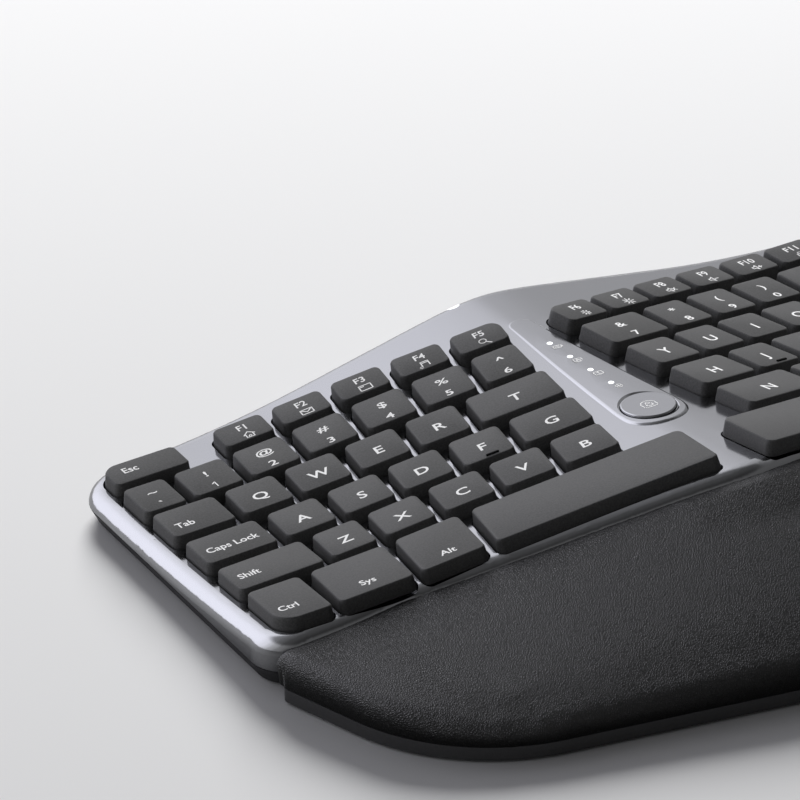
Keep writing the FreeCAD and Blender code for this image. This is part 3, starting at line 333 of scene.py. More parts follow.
def grain_group():
    """Fine mottled grain: a colour varied about its own value, a roughness and a height."""
    group = new_group("grain",
                      [("Colour", "NodeSocketColor", (0.5, 0.5, 0.5, 1)), ("Scale", "NodeSocketFloat", 900.0),
                       ("Depth", "NodeSocketFloat", 0.3), ("Roughness", "NodeSocketFloat", 0.5),
                       ("Spread", "NodeSocketFloat", 0.1)],
                      [("Colour", "NodeSocketColor"), ("Roughness", "NodeSocketFloat"),
                       ("Height", "NodeSocketFloat")])
    links = group.links
    entry, leave = node(group, "NodeGroupInput"), node(group, "NodeGroupOutput")
    place = node(group, "ShaderNodeTexCoord")
    fine = node(group, "ShaderNodeTexNoise")
    fine.inputs["Detail"].default_value = 3.0
    links.new(place.outputs["Object"], fine.inputs["Vector"])
    links.new(entry.outputs["Scale"], fine.inputs["Scale"])
    centred = maths(group, "SUBTRACT", fine.outputs["Fac"], NOISE_MIDDLE)
    factor = maths(group, "ADD", maths(group, "MULTIPLY", centred, entry.outputs["Depth"]), 1.0)
    shade = node(group, "ShaderNodeVectorMath", operation="SCALE")
    links.new(entry.outputs["Colour"], shade.inputs[0])
    links.new(factor, shade.inputs["Scale"])
    spread = maths(group, "MULTIPLY", centred, entry.outputs["Spread"])
    rough = maths(group, "ADD", spread, entry.outputs["Roughness"])
    links.new(shade.outputs[0], leave.inputs["Colour"])
    links.new(rough, leave.inputs["Roughness"])
    links.new(fine.outputs["Fac"], leave.inputs["Height"])
    return group


def pebble_group():
    """Leather grain: rounded pebbles with creases between them, and a slow variation."""
    group = new_group("pebble", [("Scale", "NodeSocketFloat", 900.0)],
                      [("Height", "NodeSocketFloat"), ("Crease", "NodeSocketFloat"), ("Tone", "NodeSocketFloat")])
    links = group.links
    entry, leave = node(group, "NodeGroupInput"), node(group, "NodeGroupOutput")
    place = node(group, "ShaderNodeTexCoord")
    wobble = node(group, "ShaderNodeTexNoise")
    wobble.inputs["Scale"].default_value = PEBBLE_BEND_SCALE
    links.new(place.outputs["Object"], wobble.inputs["Vector"])
    bend = node(group, "ShaderNodeVectorMath", operation="MULTIPLY_ADD")
    links.new(wobble.outputs["Color"], bend.inputs[0])
    bend.inputs[1].default_value = (PEBBLE_BEND, PEBBLE_BEND, PEBBLE_BEND)
    links.new(place.outputs["Object"], bend.inputs[2])
    cells = node(group, "ShaderNodeTexVoronoi", feature="DISTANCE_TO_EDGE")
    links.new(bend.outputs[0], cells.inputs["Vector"])
    links.new(entry.outputs["Scale"], cells.inputs["Scale"])
    dome = node(group, "ShaderNodeMapRange", interpolation_type="SMOOTHSTEP")
    dome.inputs["From Max"].default_value = PEBBLE_ROUND
    links.new(cells.outputs["Distance"], dome.inputs["Value"])
    crease = node(group, "ShaderNodeMapRange")
    crease.inputs["From Max"].default_value = PEBBLE_CREASE
    crease.inputs["To Min"].default_value = 1.0
    crease.inputs["To Max"].default_value = 0.0
    links.new(cells.outputs["Distance"], crease.inputs["Value"])
    slow = node(group, "ShaderNodeTexNoise")
    slow.inputs["Scale"].default_value = TONE_SCALE
    slow.inputs["Detail"].default_value = 4.0
    links.new(place.outputs["Object"], slow.inputs["Vector"])
    links.new(dome.outputs["Result"], leave.inputs["Height"])
    links.new(crease.outputs["Result"], leave.inputs["Crease"])
    links.new(slow.outputs["Fac"], leave.inputs["Tone"])
    return group


GROUPS = {}


def shared(name):
    if name not in GROUPS:
        GROUPS[name] = {"grain": grain_group, "pebble": pebble_group}[name]()
    return GROUPS[name]


def new_material(name):
    """A material with its node tree and shader."""
    made = bpy.data.materials.new(name)
    made.use_nodes = True
    return made, made.node_tree, made.node_tree.nodes["Principled BSDF"]


def plastic(name, colour, rough, scale=1500.0, depth=0.3, spread=0.1, bump=0.02, metallic=0.0, spec=0.5):
    """Moulded or painted surface with fine grain."""
    made, tree, shader = new_material(name)
    grain = node(tree, "ShaderNodeGroup", (-500, 0))
    grain.node_tree = shared("grain")
    grain.inputs["Colour"].default_value = (*colour, 1)
    grain.inputs["Scale"].default_value = scale
    grain.inputs["Depth"].default_value = depth
    grain.inputs["Roughness"].default_value = rough
    grain.inputs["Spread"].default_value = spread
    relief = node(tree, "ShaderNodeBump", (-250, -250))
    relief.inputs["Strength"].default_value = 1.0
    relief.inputs["Distance"].default_value = bump * MM
    tree.links.new(grain.outputs["Height"], relief.inputs["Height"])
    tree.links.new(grain.outputs["Colour"], shader.inputs["Base Color"])
    tree.links.new(grain.outputs["Roughness"], shader.inputs["Roughness"])
    tree.links.new(relief.outputs["Normal"], shader.inputs["Normal"])
    shader.inputs["Metallic"].default_value = metallic
    shader.inputs["Specular IOR Level"].default_value = spec
    made.diffuse_color = (*colour, 1)
    return made


def leatherette(name, colour):
    made, tree, shader = new_material(name)
    pebble = node(tree, "ShaderNodeGroup", (-700, 0))
    pebble.node_tree = shared("pebble")
    pebble.inputs["Scale"].default_value = PEBBLE_SCALE
    tone = node(tree, "ShaderNodeMapRange", (-500, 200))
    tone.inputs["To Min"].default_value, tone.inputs["To Max"].default_value = TONE_LEVELS
    tree.links.new(pebble.outputs["Tone"], tone.inputs["Value"])
    shade = node(tree, "ShaderNodeVectorMath", (-350, 200), operation="SCALE")
    shade.inputs[0].default_value = colour
    tree.links.new(tone.outputs["Result"], shade.inputs["Scale"])
    # Painted shade: the creases take a darker copy of the leather colour
    dark = tuple(c * CREASE_SHADE_LEVEL for c in colour)
    body = mix_colour(tree, pebble.outputs["Crease"], shade.outputs[0], (*dark, 1))
    rough = node(tree, "ShaderNodeMapRange", (-350, -50))
    rough.inputs["To Min"].default_value, rough.inputs["To Max"].default_value = LEATHER_ROUGH
    tree.links.new(pebble.outputs["Crease"], rough.inputs["Value"])
    relief = node(tree, "ShaderNodeBump", (-250, -250))
    relief.inputs["Distance"].default_value = PEBBLE_RELIEF
    relief.inputs["Strength"].default_value = PEBBLE_RELIEF_SHARE
    tree.links.new(pebble.outputs["Height"], relief.inputs["Height"])
    tree.links.new(body, shader.inputs["Base Color"])
    tree.links.new(rough.outputs["Result"], shader.inputs["Roughness"])
    tree.links.new(relief.outputs["Normal"], shader.inputs["Normal"])
    shader.inputs["Specular IOR Level"].default_value = 1.0
    made.diffuse_color = (*colour, 1)
    return made


def glowing(name, colour, strength):
    made, tree, shader = new_material(name)
    grain = node(tree, "ShaderNodeGroup", (-500, 0))
    grain.node_tree = shared("grain")
    grain.inputs["Colour"].default_value = (*colour, 1)
    grain.inputs["Scale"].default_value = 2500.0
    grain.inputs["Depth"].default_value = 0.08
    tree.links.new(grain.outputs["Colour"], shader.inputs["Base Color"])
    tree.links.new(grain.outputs["Colour"], shader.inputs["Emission Color"])
    shader.inputs["Roughness"].default_value = 0.35
    shader.inputs["Emission Strength"].default_value = strength
    return made


# Mesh helpers
def add_object(name, mesh, body, materials):
    made = bpy.data.objects.new(name, mesh)
    bpy.context.scene.collection.objects.link(made)
    mesh.materials.clear()
    for material in materials:
        mesh.materials.append(material)
    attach(made, body)
    return made


def body_of(cad_name):
    return frame["nodes"][cad_name]["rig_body"]


def slot_of(cad_name):
    rows = frame["record"]["subparts"]
    return next(row["material_slot"] for row in rows if row["node"] == cad_name)


def merged_copy(cad_name, flat_angle=0.2):
    """A copy of a CAD node's mesh as a bmesh, its triangles joined and flat areas dissolved."""
    bm = bmesh.new()
    bm.from_mesh(frame["nodes"][cad_name].data)
    bmesh.ops.remove_doubles(bm, verts=bm.verts, dist=JOIN)
    if flat_angle:
        bmesh.ops.dissolve_limit(bm, angle_limit=math.radians(flat_angle), verts=bm.verts, edges=bm.edges)
    return bm


def to_mesh(bm, name, angle=30.0):
    mesh = bpy.data.meshes.new(name)
    bm.to_mesh(mesh)
    bm.free()
    mesh.shade_smooth()
    mesh.set_sharp_from_angle(angle=math.radians(angle))
    return mesh


def finish(cad_name, material):
    """Gives its material to a CAD node whose own shape shows."""
    shown = frame["nodes"][cad_name]
    if not shown.material_slots:
        shown.data.materials.append(material)
    for place in shown.material_slots:
        place.material = material


class Face:
    """The flat top of one keycap: its centre, its directions and its size."""

    def __init__(self, faces):
        self.normal = sum((f.normal * f.calc_area() for f in faces), Vector()).normalized()
        corners = [v.co for f in faces for v in f.verts]
        best = Vector((1, 0, 0))
        longest = 0.0
        for f in faces:
            for edge in f.edges:
                way = edge.verts[1].co - edge.verts[0].co
                if edge.calc_length() > longest and abs(way.x) > way.length * 0.8:
                    longest, best = edge.calc_length(), way
        self.across = (best if best.x > 0 else -best).normalized()
        self.across = (self.across - self.normal * self.across.dot(self.normal)).normalized()
        self.back = self.normal.cross(self.across)
        us = [c.dot(self.across) for c in corners]
        vs = [c.dot(self.back) for c in corners]
        self.width, self.depth = max(us) - min(us), max(vs) - min(vs)
        height = sum(c.dot(self.normal) for c in corners) / len(corners)
        self.centre = (self.across * ((max(us) + min(us)) / 2) + self.back * ((max(vs) + min(vs)) / 2)
                       + self.normal * height)

    def place(self, u, v, lift=0.0):
        """The transform that lays a flat drawing on the face, u to the right and v to the back."""
        spot = self.centre + self.across * u + self.back * v + self.normal * lift
        return Matrix.Translation(spot) @ turned(self.across, self.back, self.normal)


def islands(bm):
    """The bmesh's separate solids, as lists of faces."""
    left = set(bm.faces)
    found = []
    while left:
        seed = left.pop()
        group, queue = [seed], [seed]
        while queue:
            for edge in queue.pop().edges:
                for other in edge.link_faces:
                    if other in left:
                        left.remove(other)
                        group.append(other)
                        queue.append(other)
        found.append(group)
    return found


def top_faces(group):
    """The upward flat face of one keycap."""
    up = [f for f in group if f.normal.z > UPWARD and f.calc_area() > TOP_AREA]
    high = max(up, key=lambda f: f.calc_center_median().z * 3 + f.calc_area() * 20)
    return [f for f in up if f.normal.dot(high.normal) > TOP_IN_LINE
            and abs((f.calc_center_median() - high.calc_center_median()).dot(high.normal)) < TOP_LEVEL]


# Filled while the keycaps are built: each node's key faces, and the homing bars' meshes
KEY_FACES = {}
HOMING = {}


def order_faces(faces, right):
    """Faces from the centre outwards; two that stand one behind the other go front first."""
    ordered = sorted(faces, key=lambda f: f.centre.x if right else -f.centre.x)
    for i in range(len(ordered) - 1):
        first, second = ordered[i], ordered[i + 1]
        if abs(first.centre.x - second.centre.x) < SAME_COLUMN and first.centre.y > second.centre.y:
            ordered[i], ordered[i + 1] = second, first
    return ordered


def build_keycap(cad_name, name, materials, rounding):
    bm = merged_copy(cad_name)
    groups = islands(bm)
    faces, rim = [], []
    for group in groups:
        tops = top_faces(group)
        faces.append(Face(tops))
        for f in tops:
            rim += [e for e in f.edges if len(e.link_faces) == 2 and e.calc_face_angle(0.0) > RIM_ANGLE]
    KEY_FACES[cad_name] = order_faces(faces, cad_name.startswith("right"))
    tops_now = [(f.centre.copy(), f.normal.copy()) for f in faces]
    bmesh.ops.bevel(bm, geom=list(set(rim)), offset=rounding, offset_type="OFFSET", affect="EDGES", segments=2,
                    profile=0.5, material=-1)
    # Faces on top get the key plastic, the rest the darker copy that paints the shade on the skirts
    for f in bm.faces:
        spot = f.calc_center_median()
        near = min(tops_now, key=lambda t: (t[0] - spot).length)
        on_top = f.normal.dot(near[1]) > TOP_FACING and (spot - near[0]).dot(near[1]) > -TOP_REACH
        f.material_index = 0 if on_top else 1
    made = add_object(name, to_mesh(bm, name, KEY_SHARP), body_of(cad_name), materials)
    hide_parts(cad_name)
    return made


# Print
def text_mesh(text, height, thickness, stretch):
    """Lettering with the given capital height, centred on the origin, as a bmesh."""
    curve = bpy.data.curves.new("print", "FONT")
    curve.body = text
    curve.align_x = "CENTER"
    curve.resolution_u = LETTER_CURVE_STEPS
    curve.extrude = thickness
    curve.offset = LETTER_BOLD * height
    holder = bpy.data.objects.new("print", curve)
    bpy.context.scene.collection.objects.link(holder)
    curve.size = height / CAPITAL_SHARE
    bpy.context.view_layer.update()
    mesh = bpy.data.meshes.new_from_object(holder.evaluated_get(bpy.context.evaluated_depsgraph_get()))
    bm = bmesh.new()
    bm.from_mesh(mesh)
    bpy.data.objects.remove(holder)
    bpy.data.curves.remove(curve)
    bpy.data.meshes.remove(mesh)
    bmesh.ops.translate(bm, verts=bm.verts, vec=(0, -height / 2, 0))
    bmesh.ops.scale(bm, verts=bm.verts, vec=(stretch, 1, 1))
    return bm


def stroke_mesh(bm, points, half_width, thickness):
    """Adds a pen stroke: a bar along each run, their ends overlapping."""
    for start, end in zip(points, points[1:]):
        a, b = Vector((*start, 0)), Vector((*end, 0))
        way = b - a
        middle = (a + b) / 2
        turn = Matrix.Rotation(math.atan2(way.y, way.x), 4, "Z")
        size = Matrix.Diagonal((way.length + 2 * half_width, 2 * half_width, 2 * thickness, 1))
        bmesh.ops.create_cube(bm, size=1.0, matrix=Matrix.Translation(middle) @ turn @ size)


def icon_mesh(kind, size, half_width, thickness):
    bm = bmesh.new()
    for points in ICONS[kind]:
        stroke_mesh(bm, [(x * size, y * size) for x, y in points], half_width, thickness)
    if kind in ICON_RINGS:
        x, y, radius = (v * size for v in ICON_RINGS[kind])
        turns = [2 * math.pi * i / RING_STEPS for i in range(RING_STEPS + 1)]
        ring = [(x + radius * math.cos(turn), y + radius * math.sin(turn)) for turn in turns]
        stroke_mesh(bm, ring, half_width, thickness)
    if kind in ICON_RAYS:
        count, inner, outer = ICON_RAYS[kind]
        for i in range(count):
            a = 2 * math.pi * i / count
            ray = [(r * size * math.cos(a), r * size * math.sin(a)) for r in (inner, outer)]
            stroke_mesh(bm, ray, half_width, thickness)
    return bm


def lay(target, source, matrix):
    """Moves a flat drawing to its place and adds it to the target mesh."""
    bmesh.ops.transform(source, matrix=matrix, verts=source.verts)
    holder = bpy.data.meshes.new("holder")
    source.to_mesh(holder)
    source.free()
    target.from_mesh(holder)
    bpy.data.meshes.remove(holder)


def label_of(cad_name):
    if cad_name in LEFT_LABELS:
        return LEFT_LABELS[cad_name]
    return cad_name.replace("key_", "").upper()


def legends_for(target, face, label, sizes):
    """Draws one key's legends."""
    thick = sizes.print_thickness
    pen = KEY_PEN_SHARE * sizes.word

    def write(text, place, height):
        stretch = WORD_STRETCH if len(text) > 1 else LETTER_STRETCH if text.isalpha() else DIGIT_STRETCH
        lay(target, text_mesh(text, height, thick / 2, stretch), face.place(place[0] * MM, place[1] * MM))

    def draw(kind, place, size):
        lay(target, icon_mesh(kind, size, pen / 2, thick / 2), face.place(place[0] * MM, place[1] * MM))

    if label in ("left", "right", "up", "down"):
        draw(label, (0, 0), sizes.icon)
    elif label in FUNCTION_ICONS:
        write(label, FUNCTION_PLACE, sizes.word)
        draw(FUNCTION_ICONS[label], ICON_PLACE, sizes.icon)
    elif label in SHIFTED:
        write(SHIFTED[label], UPPER_PLACE, sizes.word * UPPER_SCALE)
        if label == "1":
            draw("one", LOWER_PLACE, sizes.word / 2)
        else:
            write(label, LOWER_PLACE, sizes.word)
    elif len(label) == 1:
        write(label, LETTER_PLACE, sizes.letter)
        if label in HOMING_KEYS:
            stroke = bmesh.new()
            half_length, half_width, half_height = (v * MM for v in HOMING_BAR)
            stroke_mesh(stroke, [(-half_length, 0), (half_length, 0)], half_width, half_height)
            lay(HOMING[label], stroke, face.place(HOMING_PLACE[0] * MM, HOMING_PLACE[1] * MM))
    else:
        write(label, WORD_PLACES[label], sizes.word)


# Operators
class BuildKeycaps(bpy.types.Operator):
    """Finishes the keycaps with rounded edges, a grey top and near-black skirts whose darkness is painted shade"""
    bl_idname = "keyboard.keycaps"
    bl_label = "Keycaps"

    def execute(self, context):
        settings, sizes = context.scene.keyboard_finish, context.scene.keyboard_sizes
        top = plastic("key_top_plastic", settings.key_top, 0.56, scale=1900.0, depth=1.6, spread=0.4, bump=0.04)
        # The skirts' plastic is a darker copy of the top's: painted shade on the key sides
        side = plastic("key_side_plastic", settings.key_side, 0.36, depth=0.2, bump=0.004, spec=0.02)
        for cad_name in frame["nodes"]:
            if slot_of(cad_name) == "keycaps":
                name = "cap_" + cad_name.replace("key_", "")
                build_keycap(cad_name, name, [top, side], sizes.key_round)
        return {"FINISHED"}


class BuildLegends(bpy.types.Operator):
    """Prints the generic legends and raises the two homing bars"""
    bl_idname = "keyboard.legends"
    bl_label = "Legends"

    def execute(self, context):
        settings, sizes = context.scene.keyboard_finish, context.scene.keyboard_sizes
        ink = plastic("legend_print", settings.legend, 0.5, scale=3000.0, depth=0.1, bump=0.003)
        # The homing bars take the skirts' plastic, whose dark colour is painted shade
        dark = bpy.data.materials["key_side_plastic"]
        for cad_name, faces in KEY_FACES.items():
            if "space" in cad_name:
                continue
            labels = RIGHT_LABELS.get(cad_name) or [label_of(cad_name)]
            bm = bmesh.new()
            for label, face in zip(labels, faces):
                if label in HOMING_KEYS:
                    HOMING[label] = bmesh.new()
                legends_for(bm, face, label, sizes)
                if label in HOMING_KEYS:
                    name = "homing_bar_" + label.lower()
                    add_object(name, to_mesh(HOMING[label], name), body_of(cad_name), [dark])
            name = "legend_" + cad_name.replace("key_", "")
            add_object(name, to_mesh(bm, name), body_of(cad_name), [ink])
        return {"FINISHED"}


class BuildCover(bpy.types.Operator):
    """Finishes the glossy metallic cover"""
    bl_idname = "keyboard.cover"
    bl_label = "Cover"

    def execute(self, context):
        settings = context.scene.keyboard_finish
        paint = plastic("cover_paint", settings.cover, 0.13, scale=4000.0, depth=0.06, spread=0.05, bump=0.0005,
                        metallic=1.0)
        finish("top_cover", paint)
        return {"FINISHED"}


class BuildCentrePanel(bpy.types.Operator):
    """Finishes the lock button, the indicator lights and their icons"""
    bl_idname = "keyboard.centre_panel"
    bl_label = "Centre panel"

    def execute(self, context):
        settings, sizes = context.scene.keyboard_finish, context.scene.keyboard_sizes
        paint = bpy.data.materials["cover_paint"]
        finish("lock_button", paint)
        finish("indicator_lenses", glowing("lens_glow", (0.95, 0.97, 1.0), 0.8))
        ink = bpy.data.materials["legend_print"]
        pen = sizes.pen / 2
        bm = merged_copy("lock_button")
        disc = max((f for f in bm.faces if f.normal.z > UPWARD), key=lambda f: f.calc_area())
        face = Face([disc])
        face.across = Vector((1, 0, 0))
        face.back = face.normal.cross(face.across)
        bm.free()
        mark = bmesh.new()
        lay(mark, icon_mesh("shield", sizes.lock_icon, pen, sizes.print_thickness), face.place(0, 0))
        add_object("lock_icon", to_mesh(mark, "lock_icon"), "lock_button", [ink])
        self.light_icons(sizes, pen, ink)
        return {"FINISHED"}

    def light_icons(self, sizes, pen, ink):
        cover = merged_copy("top_cover", flat_angle=0)
        ground = BVHTree.FromBMesh(cover)
        lenses = merged_copy("indicator_lenses")
        spots = [sum((f.calc_center_median() for f in group), Vector()) / len(group) for group in islands(lenses)]
        spots = [spot for spot in spots if abs(spot.x) < LIGHT_ROW]
        right, back = LIGHT_ICON_PLACE
        marks = bmesh.new()
        for kind, spot in zip(LIGHT_ICONS, sorted(spots, key=lambda v: -v.y)):
            above = spot + Vector((right * MM, back * MM, LIGHT_ICON_DROP * MM))
            place, normal = ground.ray_cast(above, Vector((0, 0, -1)))[:2]
            across = Vector((1, 0, 0))
            across = (across - normal * across.dot(normal)).normalized()
            turn = turned(across, normal.cross(across), normal)
            icon = icon_mesh(kind, sizes.light_icon, pen, sizes.print_thickness)
            lay(marks, icon, Matrix.Translation(place) @ turn)
        add_object("light_icons", to_mesh(marks, "light_icons"), "housing", [ink])
        cover.free()
        lenses.free()


class BuildLowerCase(bpy.types.Operator):
    """Finishes the textured lower case, feet and screws"""
    bl_idname = "keyboard.lower_case"
    bl_label = "Lower case"

    def execute(self, context):
        settings = context.scene.keyboard_finish
        rough = plastic("case_texture", settings.lower_case, 0.62, scale=1300.0, depth=0.7, spread=0.2, bump=0.12)
        finish("bottom_case", rough)
        rubber = plastic("foot_rubber", linear(22, 22, 23), 0.8, scale=900.0, bump=0.02)
        finish("rubber_feet", rubber)
        steel = plastic("screw_steel", linear(168, 168, 170), 0.32, scale=1800.0, depth=0.15, metallic=1.0,
                        bump=0.004)
        finish("housing_screws", steel)
        return {"FINISHED"}


def evaluated(holder):
    """A mesh of what the object shows with its modifiers."""
    bpy.context.view_layer.update()
    shown = holder.evaluated_get(bpy.context.evaluated_depsgraph_get())
    return bpy.data.meshes.new_from_object(shown)


def swelling(mesh, sizes):
    """How far the filling pushes the cover out: places and moves, found by cloth simulation on an even mesh."""
    scene = bpy.context.scene
    holder = bpy.data.objects.new("padding", mesh)
    scene.collection.objects.link(holder)
    even = holder.modifiers.new("even", "REMESH")
    even.mode = "VOXEL"
    even.voxel_size = sizes.pad_voxel
    holder.data = evaluated(holder)
    holder.modifiers.clear()
    points = holder.data.vertices
    held = [v.index for v in points if v.normal.z < PAD_HELD_DOWN or v.normal.y > PAD_HELD_BACK]
    holder.vertex_groups.new(name="held").add(held, 1.0, "REPLACE")
    filling = holder.modifiers.new("filling", "CLOTH")
    filling.settings.vertex_group_mass = "held"
    filling.settings.use_pressure = True
    filling.settings.uniform_pressure_force = PAD_PRESSURE
    filling.settings.effector_weights.gravity = 0.0
    for step in range(1, PAD_STEPS + 1):
        scene.frame_set(step)
    full = evaluated(holder)
    places = KDTree(len(points))
    moves = []
    for point, swollen in zip(points, full.vertices):
        places.insert(point.co, point.index)
        move = swollen.co - point.co
        moves.append(move * min(1.0, sizes.pad_swell / max(move.length, MM / 1000)))
    places.balance()
    scene.frame_set(1)
    bpy.data.objects.remove(holder)
    return places, moves


def padding(sizes):
    """The pad's cover, swollen by its filling; its lower edge stays on the base."""
    bm = merged_copy("palm_pad", flat_angle=0)
    mesh = to_mesh(bm.copy(), "padding", PAD_SHARP)
    places, moves = swelling(mesh, sizes)
    foot = min(point.co.z for point in bm.verts)
    for point in bm.verts:
        near = places.find_n(point.co, PAD_NEIGHBOURS)
        weights = [1 / (far + MM) for spot, index, far in near]
        move = sum((moves[index] * w for (spot, index, far), w in zip(near, weights)), Vector()) / sum(weights)
        point.co += move * min(1.0, (point.co.z - foot) / PAD_EDGE)
    lean_on_cover(bm)
    return to_mesh(bm, "padding", PAD_SHARP)


def lean_on_cover(bm):
    """Moves the padding's back over the rounded front of the cover, clear of it."""
    bm.normal_update()
    cover = merged_copy("top_cover", flat_angle=0)
    ground = BVHTree.FromBMesh(cover)
    first, last = PAD_LEAN_FACING
    moves = []
    for point in bm.verts:
        share = min(1.0, max(0.0, (point.normal.y - first) / (last - first)))
        if share > 0:
            way = Vector((point.normal.x, point.normal.y, 0)).normalized()
            hit = ground.ray_cast(point.co, way, PAD_LEAN + PAD_LEAN_GAP)
            room = PAD_LEAN if hit[0] is None else hit[3] - PAD_LEAN_GAP
            moves.append((point, way * max(0.0, room) * share))
    for point, move in moves:
        point.co += move
    cover.free()


class BuildPalmRest(bpy.types.Operator):
    """Swells and covers the palm pad, and finishes its base"""
    bl_idname = "keyboard.palm_rest"
    bl_label = "Palm rest"

    def execute(self, context):
        settings, sizes = context.scene.keyboard_finish, context.scene.keyboard_sizes
        black = plastic("base_plastic", linear(76, 76, 77), 0.45, scale=1500.0, depth=0.4, bump=0.02)
        for cad_name in frame["nodes"]:
            if slot_of(cad_name) == "base_plastic":
                finish(cad_name, black)
        leather = leatherette("pad_leatherette", settings.leather)
        cushion = add_object("palm_cushion", padding(sizes), body_of("palm_pad"), [leather])
        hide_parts("palm_pad")
        return {"FINISHED"}


class BuildInside(bpy.types.Operator):
    """Finishes the pieces inside the case"""
    bl_idname = "keyboard.inside"
    bl_label = "Inside"

    def execute(self, context):
        finishes = {
            "plate_metal": ((170, 172, 175), 0.35, 1.0), "dome_rubber": ((196, 196, 190), 0.5, 0.0),
            "membrane_film": ((205, 210, 214), 0.2, 0.0), "back_steel": ((150, 152, 155), 0.4, 1.0),
            "board": ((30, 92, 52), 0.35, 0.0), "battery_wrap": ((96, 104, 120), 0.35, 0.6),
            "socket_steel": ((176, 178, 180), 0.28, 1.0), "switch_plastic": ((34, 34, 36), 0.45, 0.0),
        }
        for slot_name, (colour, rough, metallic) in finishes.items():
            material = plastic(slot_name, linear(*colour), rough, metallic=metallic, bump=0.01)
            for cad_name in frame["nodes"]:
                if slot_of(cad_name) == slot_name:
                    finish(cad_name, material)
        return {"FINISHED"}


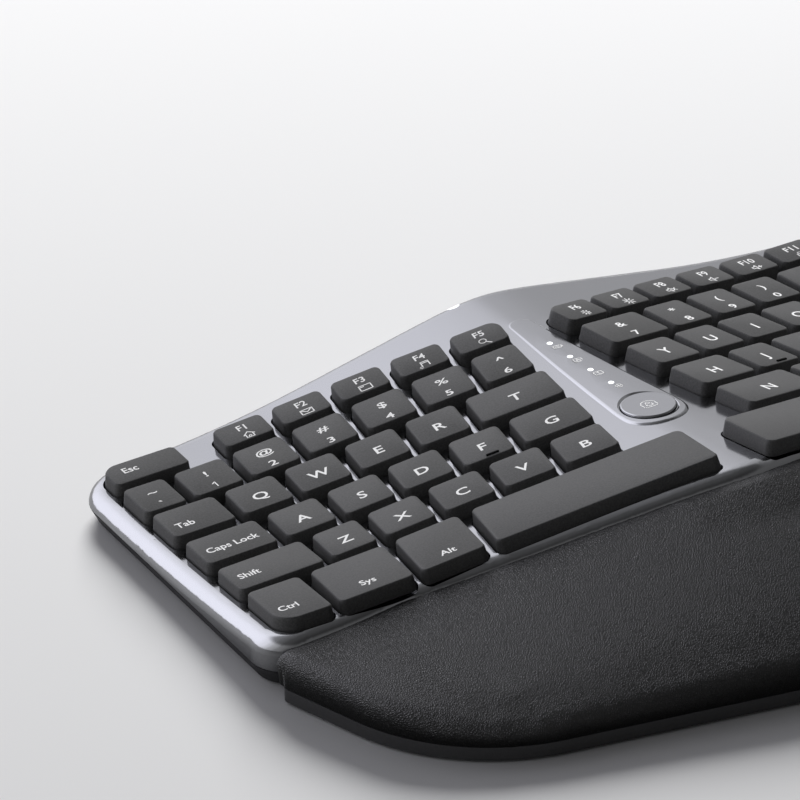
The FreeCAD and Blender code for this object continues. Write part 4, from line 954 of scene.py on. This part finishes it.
class BuildStage(bpy.types.Operator):
    """Makes the pale floor, the soft light and the photograph's camera"""
    bl_idname = "keyboard.stage"
    bl_label = "Stage"

    def execute(self, context):
        scene = context.scene
        bm = bmesh.new()
        bmesh.ops.create_grid(bm, x_segments=1, y_segments=1, size=FLOOR_SIZE)
        mesh = bpy.data.meshes.new("floor")
        bm.to_mesh(mesh)
        bm.free()
        floor = bpy.data.objects.new("floor", mesh)
        scene.collection.objects.link(floor)
        pale, tree, shader = new_material("floor_pale")
        rays = node(tree, "ShaderNodeLightPath", (-600, 0))
        place = node(tree, "ShaderNodeTexCoord", (-1000, -200))
        parts = node(tree, "ShaderNodeSeparateXYZ", (-800, -200))
        tree.links.new(place.outputs["Object"], parts.inputs[0])
        # In glossy rays the floor is painted darker, most in front of the keyboard: painted shade in its
        # reflections
        reflected_shade = node(tree, "ShaderNodeMapRange", (-600, -200), interpolation_type="SMOOTHSTEP")
        reflected_shade.inputs["From Min"].default_value, reflected_shade.inputs["From Max"].default_value = FLOOR_SHADE_CHANGE
        reflected_shade.inputs["To Min"].default_value, reflected_shade.inputs["To Max"].default_value = FLOOR_MIRRORED_SHADE
        tree.links.new(parts.outputs["Y"], reflected_shade.inputs["Value"])
        shade = mix_colour(tree, rays.outputs["Is Glossy Ray"], (FLOOR_LEVEL, FLOOR_LEVEL, FLOOR_LEVEL, 1),
                           reflected_shade.outputs["Result"])
        tree.links.new(shade, shader.inputs["Base Color"])
        shader.inputs["Roughness"].default_value = 0.7
        shader.inputs["Specular IOR Level"].default_value = 0.2
        mesh.materials.append(pale)
        self.light(scene)
        self.camera(scene)
        scene.view_settings.view_transform = "Standard"
        return {"FINISHED"}

    def light(self, scene):
        world = bpy.data.worlds.new("studio")
        scene.world = world
        world.use_nodes = True
        tree = world.node_tree
        way = node(tree, "ShaderNodeTexCoord", (-900, 0))
        nearness = node(tree, "ShaderNodeVectorMath", (-700, 0), operation="DOT_PRODUCT")
        nearness.inputs[1].default_value = direction(*WINDOW_WAY)
        tree.links.new(way.outputs["Generated"], nearness.inputs[0])
        share = node(tree, "ShaderNodeMapRange", (-500, 0))
        share.inputs["From Min"].default_value = -1.0
        tree.links.new(nearness.outputs["Value"], share.inputs["Value"])
        ramp = node(tree, "ShaderNodeValToRGB", (-300, 0))
        ramp.color_ramp.interpolation = "EASE"
        stops = ramp.color_ramp.elements
        top = WINDOW_LEVELS[-1][1]
        for i, (near, level) in enumerate(WINDOW_LEVELS):
            stop = stops[i] if i < len(stops) else stops.new(1.0)
            stop.position = (near + 1) / 2
            stop.color = (level / top, level / top, level / top * (1 + WINDOW_COOL * level), 1)
        tree.links.new(share.outputs["Result"], ramp.inputs["Fac"])
        rays = node(tree, "ShaderNodeLightPath", (-500, 300))
        strength = node(tree, "ShaderNodeMath", (-300, 300), operation="MULTIPLY_ADD")
        strength.inputs[1].default_value = top * (1 - AMBIENT_SHARE)
        strength.inputs[2].default_value = top * AMBIENT_SHARE
        tree.links.new(rays.outputs["Is Glossy Ray"], strength.inputs[0])
        overhead = node(tree, "ShaderNodeVectorMath", (-700, 600), operation="DOT_PRODUCT")
        overhead.inputs[1].default_value = direction(*CEILING_WAY)
        tree.links.new(way.outputs["Generated"], overhead.inputs[0])
        ceiling = node(tree, "ShaderNodeMapRange", (-500, 600), interpolation_type="SMOOTHSTEP")
        ceiling.inputs["From Min"].default_value, ceiling.inputs["From Max"].default_value = CEILING_FADE
        ceiling.inputs["To Min"].default_value = 1.0
        ceiling.inputs["To Max"].default_value = CEILING_SHARE
        tree.links.new(overhead.outputs["Value"], ceiling.inputs["Value"])
        level = node(tree, "ShaderNodeMath", (-150, 300), operation="MULTIPLY")
        tree.links.new(strength.outputs[0], level.inputs[0])
        tree.links.new(ceiling.outputs["Result"], level.inputs[1])
        background = tree.nodes["Background"]
        tree.links.new(ramp.outputs["Color"], background.inputs["Color"])
        tree.links.new(level.outputs[0], background.inputs["Strength"])
        wall = node(tree, "ShaderNodeBackground", (0, -200))
        wall.inputs["Color"].default_value = (WALL_LEVEL, WALL_LEVEL, WALL_LEVEL, 1)
        chosen = node(tree, "ShaderNodeMixShader", (200, 0))
        tree.links.new(rays.outputs["Is Camera Ray"], chosen.inputs[0])
        tree.links.new(background.outputs[0], chosen.inputs[1])
        tree.links.new(wall.outputs[0], chosen.inputs[2])
        tree.links.new(chosen.outputs[0], tree.nodes["World Output"].inputs["Surface"])
        for name, way, distance, size, power in LAMPS:
            lamp = bpy.data.lights.new(name, "AREA")
            lamp.shape = "DISK"
            lamp.size = size
            lamp.energy = power
            holder = bpy.data.objects.new(name, lamp)
            spot = direction(*way) * distance
            holder.location = spot
            holder.rotation_euler = (-spot).to_track_quat("-Z", "Y").to_euler()
            holder.visible_glossy = False
            scene.collection.objects.link(holder)

    def camera(self, scene):
        azimuth, elevation = math.radians(CAMERA_AZIMUTH), math.radians(CAMERA_ELEVATION)
        ahead = Vector((math.sin(azimuth) * math.cos(elevation), math.cos(azimuth) * math.cos(elevation),
                        -math.sin(elevation)))
        right = Vector((math.cos(azimuth), -math.sin(azimuth), 0))
        up = right.cross(ahead)
        middle = FRAME_PIXELS / 2
        aim = ahead * FOCAL_PIXELS + right * (middle - CENTRE_PIXEL[0]) - up * (middle - CENTRE_PIXEL[1])
        data = bpy.data.cameras.new("camera")
        data.sensor_width = SENSOR_WIDTH
        data.lens = FOCAL_PIXELS / FRAME_PIXELS * data.sensor_width
        data.clip_end = CLIP_END
        holder = bpy.data.objects.new("camera", data)
        back = -aim.normalized()
        side = (right - back * right.dot(back)).normalized()
        turn = Matrix((side, back.cross(side), back)).transposed()
        holder.location = CAMERA_TARGET - ahead * CAMERA_DISTANCE
        holder.rotation_euler = turn.to_euler()
        scene.collection.objects.link(holder)
        scene.camera = holder


STEPS = (BuildKeycaps, BuildLegends, BuildCover, BuildCentrePanel, BuildLowerCase, BuildPalmRest, BuildInside,
         BuildStage)


class KeyboardPanel(bpy.types.Panel):
    """Lists the keyboard's building steps"""
    bl_idname = "KEYBOARD_PT_steps"
    bl_label = "Ergonomic keyboard"
    bl_space_type = "VIEW_3D"
    bl_region_type = "UI"
    bl_category = "Keyboard"

    def draw(self, context):
        for step in STEPS:
            self.layout.operator(step.bl_idname)


CLASSES = (FinishSettings, SizeSettings, *STEPS, KeyboardPanel)


def register():
    for item in CLASSES:
        bpy.utils.register_class(item)
    bpy.types.Scene.keyboard_finish = bpy.props.PointerProperty(type=FinishSettings)
    bpy.types.Scene.keyboard_sizes = bpy.props.PointerProperty(type=SizeSettings)


def unregister():
    del bpy.types.Scene.keyboard_sizes
    del bpy.types.Scene.keyboard_finish
    for item in reversed(CLASSES):
        bpy.utils.unregister_class(item)


def main():
    register()
    bpy.ops.keyboard.keycaps()
    bpy.ops.keyboard.legends()
    bpy.ops.keyboard.cover()
    bpy.ops.keyboard.centre_panel()
    bpy.ops.keyboard.lower_case()
    bpy.ops.keyboard.palm_rest()
    bpy.ops.keyboard.inside()
    bpy.ops.keyboard.stage()


if __name__ == "__main__":
    main()
